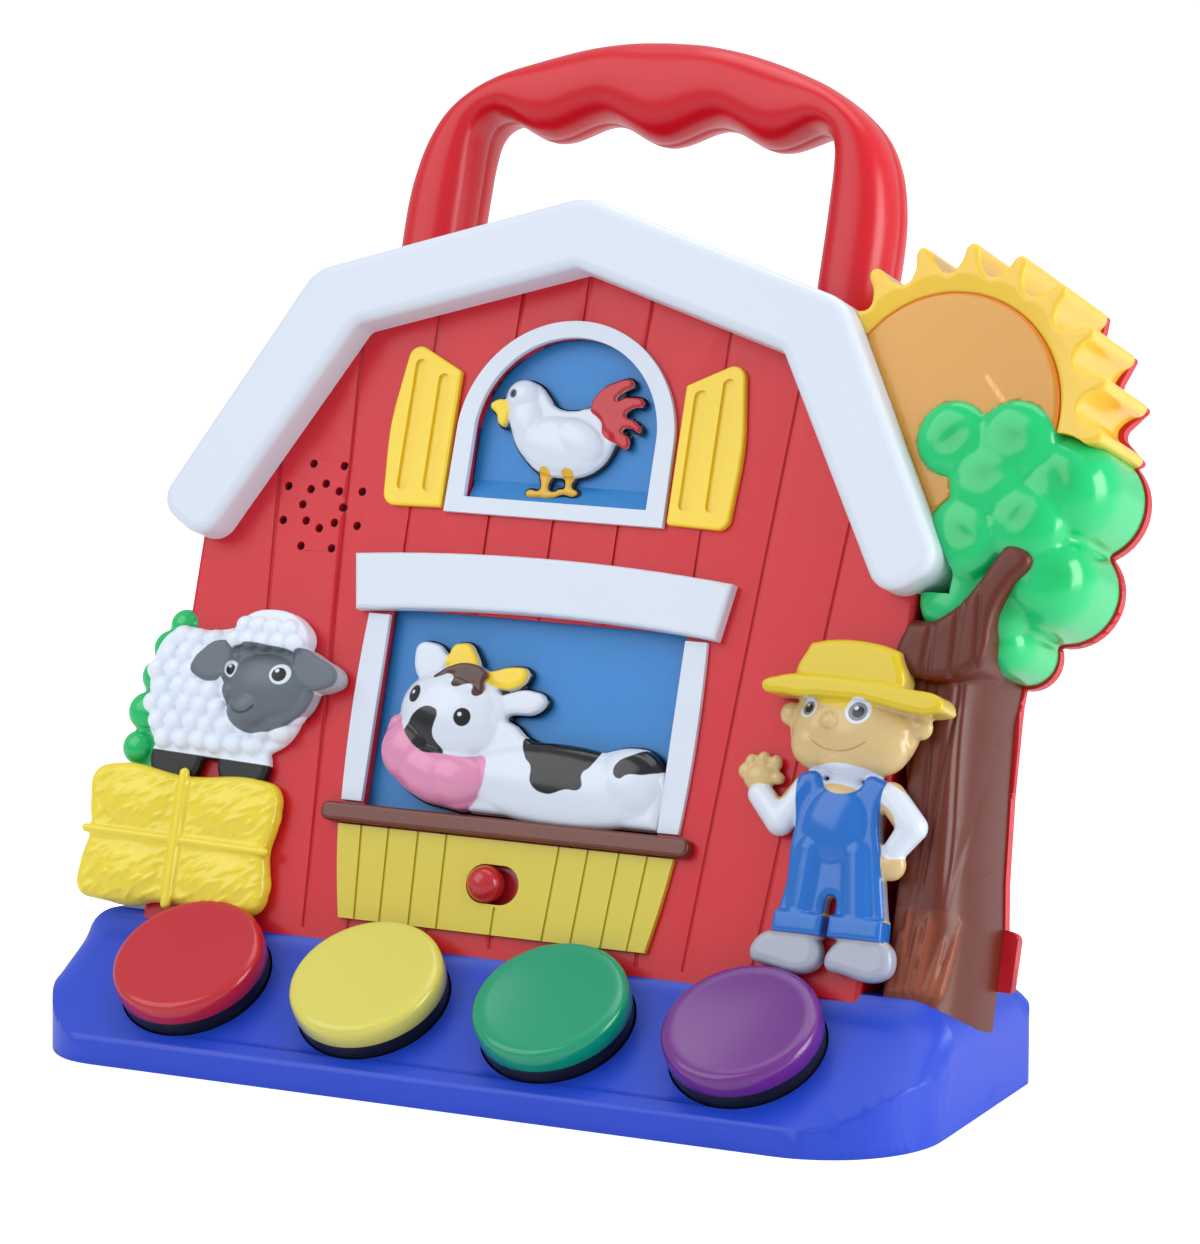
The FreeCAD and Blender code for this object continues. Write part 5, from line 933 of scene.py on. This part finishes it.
def leafDents(u, v, n):
    dent = np.zeros(len(u))
    for across, up, depth, turn in crown["dents"]:
        c, s = math.cos(math.radians(turn)), math.sin(math.radians(turn))
        along, aside = (u - across) * c + (v - up) * s, (v - up) * c - (u - across) * s
        dent = np.maximum(dent, depth * np.exp(-(along / 4.4) ** 2 - (aside / 2.2) ** 2))
    return -dent * np.clip((n + 8.0) / 6.0, 0, 1)


pushOut(crownMesh, leafDents)
crownMesh = cutBack(crownMesh)
paintFields(crownMesh, {
    # painted shade: the green turns darker towards the middle of each dent
    "deep": lambda u, v, n: np.max([1.4 - 0.7 * np.hypot(u - across, v - up)
                                    for across, up, depth, turn in crown["dents"]], axis=0)})
finishPiece(crownMesh, "tree_crown_lobes", "leaf_green", "barn", ["tree_crown"])
print("crown modelled")

# sun: a ring of rounded rays round an orange lens

sun = {"centre": (94.0, 132.6), "tip": 38.0, "valley": 31.2, "rays": 19, "first": 12.5, "lens": 26.7,
       "rim": -26.0, "face": 2.4, "voxel": 0.5, "soften": 5}


def sunCorners():
    corners = []
    for ray in range(sun["rays"]):
        for step, reach in ((-0.5, sun["valley"]), (-0.22, sun["valley"] + 2.4), (-0.07, sun["tip"]),
                            (0.07, sun["tip"]), (0.22, sun["valley"] + 2.4)):
            angle = math.radians(sun["first"] + (ray + step) * 360 / sun["rays"])
            corners.append((sun["centre"][0] + reach * math.cos(angle),
                            sun["centre"][1] + reach * math.sin(angle)))
    return corners


def crownRoom():
    # what the crown covers of the sun
    room = bmesh.new()
    for u, v, radius, shoulder, high, fullness in crown["lobes"]:
        addDome(room, (u, v), radius * (0.92 if shoulder > -10 else 0.86), crown["rim"] - 3.0, 6.0, 9.0, 6.0)
    return blended(room, 0.8, 0)


form = bmesh.new()
addSlab(form, sunCorners(), sun["rim"] - 1.0, sun["face"], 0.6, 4)
rayMesh = blended(form, sun["voxel"], sun["soften"], sun["rim"])


def sunWell(u, v, n):
    # sinks the middle for the lens and slopes the ring down to it
    fromCentre = np.hypot(u - sun["centre"][0], v - sun["centre"][1])
    well = np.clip((sun["lens"] + 0.5 - fromCentre) / 0.5, 0, 1)
    bank = np.clip((fromCentre - sun["lens"] - 0.5) / 4.0, 0, 1)
    return np.where(n > 0.5, -1.8 * well - 0.7 * (1 - bank) * (1 - well), 0.0)


pushOut(rayMesh, sunWell)
rayMesh = cutBack(rayMesh, [crownRoom()])
finishPiece(rayMesh, "sun_ray_ring", "sun_yellow", "barn", ["sun_rays"])

form = bmesh.new()
edge = sun["lens"]
face = [(edge * step / 30, 1.9) for step in range(30)]
addTurned(form, face + [(edge - 0.3, 1.75), (edge, 1.4), (edge, 0.5), (0.0, 0.5)], 128)
form.transform(Matrix.Translation((*sun["centre"], 0)))
lensMesh = cutBack(meshOf(form, "lens"), [crownRoom()])
paintFields(lensMesh, {
    "rim": lambda u, v, n: np.hypot(u - sun["centre"][0], v - sun["centre"][1]) - sun["lens"] + 0.5,
    # painted shade: the lens darkens towards the lower right, and the upper left stays lighter as a painted
    # reflection
    "low": lambda u, v, n: (u - 94.0) * 0.8 - (v - 139.0) * 0.6,
    # painted reflection: a thin light streak across the lens
    "paintedStreak": lambda u, v, n: 0.55 - np.abs((u - 102.2) * 0.737 + (v - 140.6) * 0.676)
    - np.clip(np.abs((u - 104.9) * 0.676 - (v - 137.6) * 0.737) - 3.6, 0, 9)})
finishPiece(lensMesh, "sun_lens", "sun_orange", "barn", ["sun_disc"])
print("sun modelled")

# carry handle: a round-edged grip with finger waves, and the shells that it grows out of

handle = {
    "middle": -29.0, "depth": 11.3, "squareness": 2.6, "under": 197.8, "rise": 4.8, "wave": 29.5, "seam": 0.3,
    "outer": [(63.8, 148.0), (63.8, 164.0), (63.8, 178.0), (62.8, 186.8), (60.5, 195.1), (56.2, 202.7),
              (49.6, 208.7), (42.2, 213.0), (34.8, 216.0), (27.8, 218.3), (21.3, 220.0), (14.9, 221.2),
              (8.0, 222.1), (0.0, 222.4)],
    "inner": [(46.8, 148.0), (46.8, 164.0), (46.8, 178.0), (46.8, 185.4), (46.8, 192.0), (46.4, 197.6),
              (44.6, 200.8), (40.4, 0), (34.4, 0), (27.6, 0), (21.2, 0), (14.8, 0), (8.0, 0), (0.0, 0)],
}


def softLine(points, steps):
    # even curve through points, with a few steps between each two
    line = []
    spots = [points[0]] + points + [points[-1]]
    for four in zip(spots, spots[1:], spots[2:], spots[3:]):
        for step in range(steps):
            s = step / steps
            line.append(tuple(0.5 * (2 * b + (c - a) * s + (2 * a - 5 * b + 4 * c - d) * s * s
                                     + (3 * b - a - 3 * c + d) * s ** 3) for a, b, c, d in zip(*four)))
    line.append(tuple(points[-1]))
    return line


def makeHandle():
    def wave(u):
        return handle["under"] + handle["rise"] * (1 - math.cos(2 * math.pi * u / handle["wave"])) / 2

    outer = softLine(handle["outer"], 6)
    flat = [(u, v if v else wave(u)) for u, v in handle["inner"]]
    inner = [(u, wave(u) if abs(u) < 38.0 else v) for u, v in softLine(flat, 6)]
    power = 2 / handle["squareness"]
    angles = [0.0, 1.0] + [9.0 * step for step in range(1, 20)] + [179.0, 180.0, 181.0]
    angles += [180.0 + 9.0 * step for step in range(1, 20)] + [359.0]
    right = list(zip(outer, inner))
    stations = right + [((-o[0], o[1]), (-i[0], i[1])) for o, i in right[-2::-1]]
    rings = []
    for outside, inside in stations:
        away = (Vector(outside) - Vector(inside)) / 2
        middle = (Vector(outside) + Vector(inside)) / 2
        ring = []
        for angle in angles:
            c, s = math.cos(math.radians(angle)), math.sin(math.radians(angle))
            across = math.copysign(abs(c) ** power, c) if abs(c) > 1e-9 else 0.0
            deep = math.copysign(abs(s) ** power, s) if abs(s) > 1e-9 else 0.0
            if angle in (0.0, 180.0):
                across *= 1 - handle["seam"] / away.length
            spot = middle + away * across
            ring.append((spot.x, spot.y, handle["middle"] + handle["depth"] * deep))
        rings.append(ring)
    shape = bmesh.new()
    addLoft(shape, rings)
    return finishPiece(meshOf(shape, "handle"), "carry_handle", "barn_red", "barn", ["front_housing"])


def copyOf(label, backTo):
    # merged copy of a carried-over node, in the given millimetre frame
    shape = bmesh.new()
    shape.from_mesh(nodes[label].data)
    bmesh.ops.transform(shape, matrix=backTo, verts=shape.verts)
    bmesh.ops.remove_doubles(shape, verts=shape.verts[:], dist=0.002)
    return shape


def finishCopy(shape, name, slotName, body, label, place):
    mesh = meshOf(shape, name)
    piece = finishPiece(mesh, name, slotName, body, [label], place)
    piece.data.set_sharp_from_angle(angle=math.radians(32))
    even = piece.modifiers.new("even", "WEIGHTED_NORMAL")
    even.keep_sharp = True
    even.weight = 100
    bpy.context.view_layer.update()
    shaded = bpy.data.meshes.new_from_object(piece.evaluated_get(bpy.context.evaluated_depsgraph_get()))
    piece.modifiers.remove(even)
    piece.data = shaded
    bpy.data.meshes.remove(mesh)
    shaded.name = name
    return piece


def withoutHandle(label, name):
    # the shell with its plain grip taken off just above the gable
    shape = copyOf(label, wallPlace.inverted())
    for side in (-1, 1):
        direction = Vector((side * 0.3094, 0.9509, 0))
        point = Vector((side * 63.0, 147.0, 0)) + direction * 0.5

        def isGrip(spot):
            return 0 < side * spot.x < 64.7 and spot.y > 140 and (spot - point).dot(direction) > 0.001

        faces = [face for face in shape.faces if any(isGrip(vert.co) for vert in face.verts)]
        edges = {edge for face in faces for edge in face.edges}
        verts = {vert for face in faces for vert in face.verts}
        parts = faces + list(edges) + list(verts)
        bmesh.ops.bisect_plane(shape, geom=parts, plane_co=point, plane_no=direction)
        grip = [face for face in shape.faces if isGrip(face.calc_center_median())]
        bmesh.ops.delete(shape, geom=grip, context="FACES")
    rims = [edge for edge in shape.edges if edge.is_boundary]
    bmesh.ops.holes_fill(shape, edges=rims, sides=0)
    return finishCopy(shape, name, "barn_red", "barn", label, wallPlace)


makeHandle()
withoutHandle("front_housing", "front_shell")
withoutHandle("rear_housing", "rear_shell")
print("handle modelled")

# base with upright ends, its left end a little shorter than the right

base = {"half": 113.5, "taper": 4.0, "taperTop": 34.0, "right": 115.0, "left": 108.2, "keepRight": 96.0,
        "keepLeft": 93.0, "shoulder": 11.0, "drop": 0.34, "cuts": [1.0, 2.0, 3.2, 4.6, 6.2, 8.2, 10.6]}


def restBase(label, name, slotName, tapered):
    shape = copyOf(label, Matrix.Scale(1 / millimetre, 4))
    for side in (-1, 1):
        for cut in base["cuts"]:
            parts = shape.verts[:] + shape.edges[:] + shape.faces[:]
            place = side * (base["half"] - base["taper"] * 0.7 - cut)
            bmesh.ops.bisect_plane(shape, geom=parts, plane_co=(place, 0, 0), plane_no=(side, 0, 0))
    for vert in shape.verts:
        half = base["half"] * (1 - base["taper"] / base["half"] * vert.co.z / base["taperTop"] * tapered)
        if vert.co.x > base["keepRight"]:
            grown = (base["right"] - base["keepRight"]) / (half - base["keepRight"])
            vert.co.x = base["keepRight"] + (vert.co.x - base["keepRight"]) * grown
        elif vert.co.x < -base["keepLeft"]:
            grown = (base["left"] - base["keepLeft"]) / (half - base["keepLeft"])
            vert.co.x = -base["keepLeft"] + (vert.co.x + base["keepLeft"]) * grown
        # the top rounds down towards both ends
        end = base["right"] if vert.co.x > 0 else base["left"]
        near = min(1.0, max(0.0, (abs(vert.co.x) - end + base["shoulder"]) / base["shoulder"]))
        raised = min(1.0, max(0.0, vert.co.z - 8.0) / 10.0)
        vert.co.z *= 1 - base["drop"] * (1 - math.sqrt(1 - near ** 2)) * raised
    return finishCopy(shape, name, slotName, "barn", label, Matrix.Scale(millimetre, 4))


restBase("base_shell", "base_shell_ends", "base_blue", 1)
restBase("base_plate", "base_plate_ends", "base_blue", 0)
print("base modelled")

# button caps with a soft rim and a slightly dished top

cap = {"radius": 18.2, "low": 3.4, "high": 9.0, "round": 1.9, "dish": 0.55, "steps": 96}


def makeCap(colour, x):
    shape = bmesh.new()
    rim = cap["round"]
    profile = [(0.0, cap["high"] - cap["dish"])]
    for step in range(1, 9):
        reach = (cap["radius"] - rim) * step / 8
        profile.append((reach, cap["high"] - cap["dish"] * (1 - (step / 8) ** 2)))
    for step in range(1, 7):
        angle = math.radians(90 - 15 * step)
        profile.append((cap["radius"] - rim + rim * math.cos(angle),
                        cap["high"] - rim + rim * math.sin(angle)))
    profile += [(cap["radius"], cap["low"] + 0.3), (cap["radius"] - 0.3, cap["low"]), (0.0, cap["low"])]
    addTurned(shape, profile, cap["steps"])
    return finishPiece(meshOf(shape, colour), f"{colour}_button_cap", f"cap_{colour}", f"{colour}_button",
                       [f"{colour}_cap"], slopePlace(x))


for index, colour in enumerate(buttonNames):
    makeCap(colour, (index - 1.5) * slope["pitch"] + slope["shift"])
print("button caps modelled")

# floor, background and lights

studio = {"floor": shade(246, 247, 250), "lift": 0.6, "key": 9.0, "fill": 4.0, "sky": 0.62}


def makeFloor():
    shape = bmesh.new()
    bmesh.ops.create_grid(shape, x_segments=2, y_segments=2, size=6.0)
    mesh = meshOf(shape, "floor")
    floor = held("floor", mesh)
    material = bpy.data.materials.new("floor_paper")
    material.use_nodes = True
    tree = material.node_tree
    shader = tree.nodes["Principled BSDF"]
    shader.inputs["Base Color"].default_value = studio["floor"]
    shader.inputs["Roughness"].default_value = 0.4
    grain = addNode(tree, "ShaderNodeTexNoise", -3, 0, Scale=400.0)
    relief = addNode(tree, "ShaderNodeBump", -2, 0, Strength=0.02)
    # the photograph's paper is lit until it is white; its own light is only seen by the camera
    seen = addNode(tree, "ShaderNodeLightPath", -2, 2)
    lift = addNode(tree, "ShaderNodeMath", -1, 2, operation="MULTIPLY")
    lift.inputs[1].default_value = studio["lift"]
    linkAll(tree, [(grain.outputs[0], relief.inputs["Height"]), (relief.outputs[0], shader.inputs["Normal"]),
                   (seen.outputs["Is Camera Ray"], lift.inputs[0]),
                   (lift.outputs[0], shader.inputs["Emission Strength"])])
    shader.inputs["Emission Color"].default_value = (0.97, 0.985, 1.0, 1)
    mesh.materials.append(material)
    return floor


makeFloor()


def addPanel(name, place, target, width, height, power, colour=(1, 1, 1)):
    data = bpy.data.lights.new(name, "AREA")
    data.shape = "RECTANGLE"
    data.size = width
    data.size_y = height
    data.energy = power
    data.color = colour
    lamp = bpy.data.objects.new(name, data)
    lamp.location = place
    lamp.rotation_euler = (Vector(target) - Vector(place)).to_track_quat("-Z", "Y").to_euler()
    scene.collection.objects.link(lamp)
    return lamp


addPanel("keyPanel", (-1.0, -1.2, 1.5), (0, 0, 0.1), 1.8, 1.8, studio["key"] * 2)
addPanel("fillPanel", (1.6, 0.15, 0.5), (0.1, 0, 0.05), 0.9, 1.0, studio["fill"] * 4)
addPanel("topPanel", (0.1, 0.5, 1.5), (0, 0, 0.1), 1.4, 1.0, studio["fill"] * 2)
world = bpy.data.worlds.new("studio")
scene.world = world
world.use_nodes = True
tree = world.node_tree
tree.nodes.clear()
ray = addNode(tree, "ShaderNodeLightPath", -3, 0)
sky = addNode(tree, "ShaderNodeBackground", -1, 0, Color=(0.96, 0.98, 1.0, 1), Strength=studio["sky"])
white = addNode(tree, "ShaderNodeBackground", -1, 1, Color=(1, 1, 1, 1), Strength=1.0)
choose = addNode(tree, "ShaderNodeMixShader", 1, 0)
end = addNode(tree, "ShaderNodeOutputWorld", 2, 0)
linkAll(tree, [(ray.outputs["Is Camera Ray"], choose.inputs[0]), (sky.outputs[0], choose.inputs[1]),
               (white.outputs[0], choose.inputs[2]), (choose.outputs[0], end.inputs["Surface"])])
scene.view_settings.view_transform = "Standard"
print("studio set")
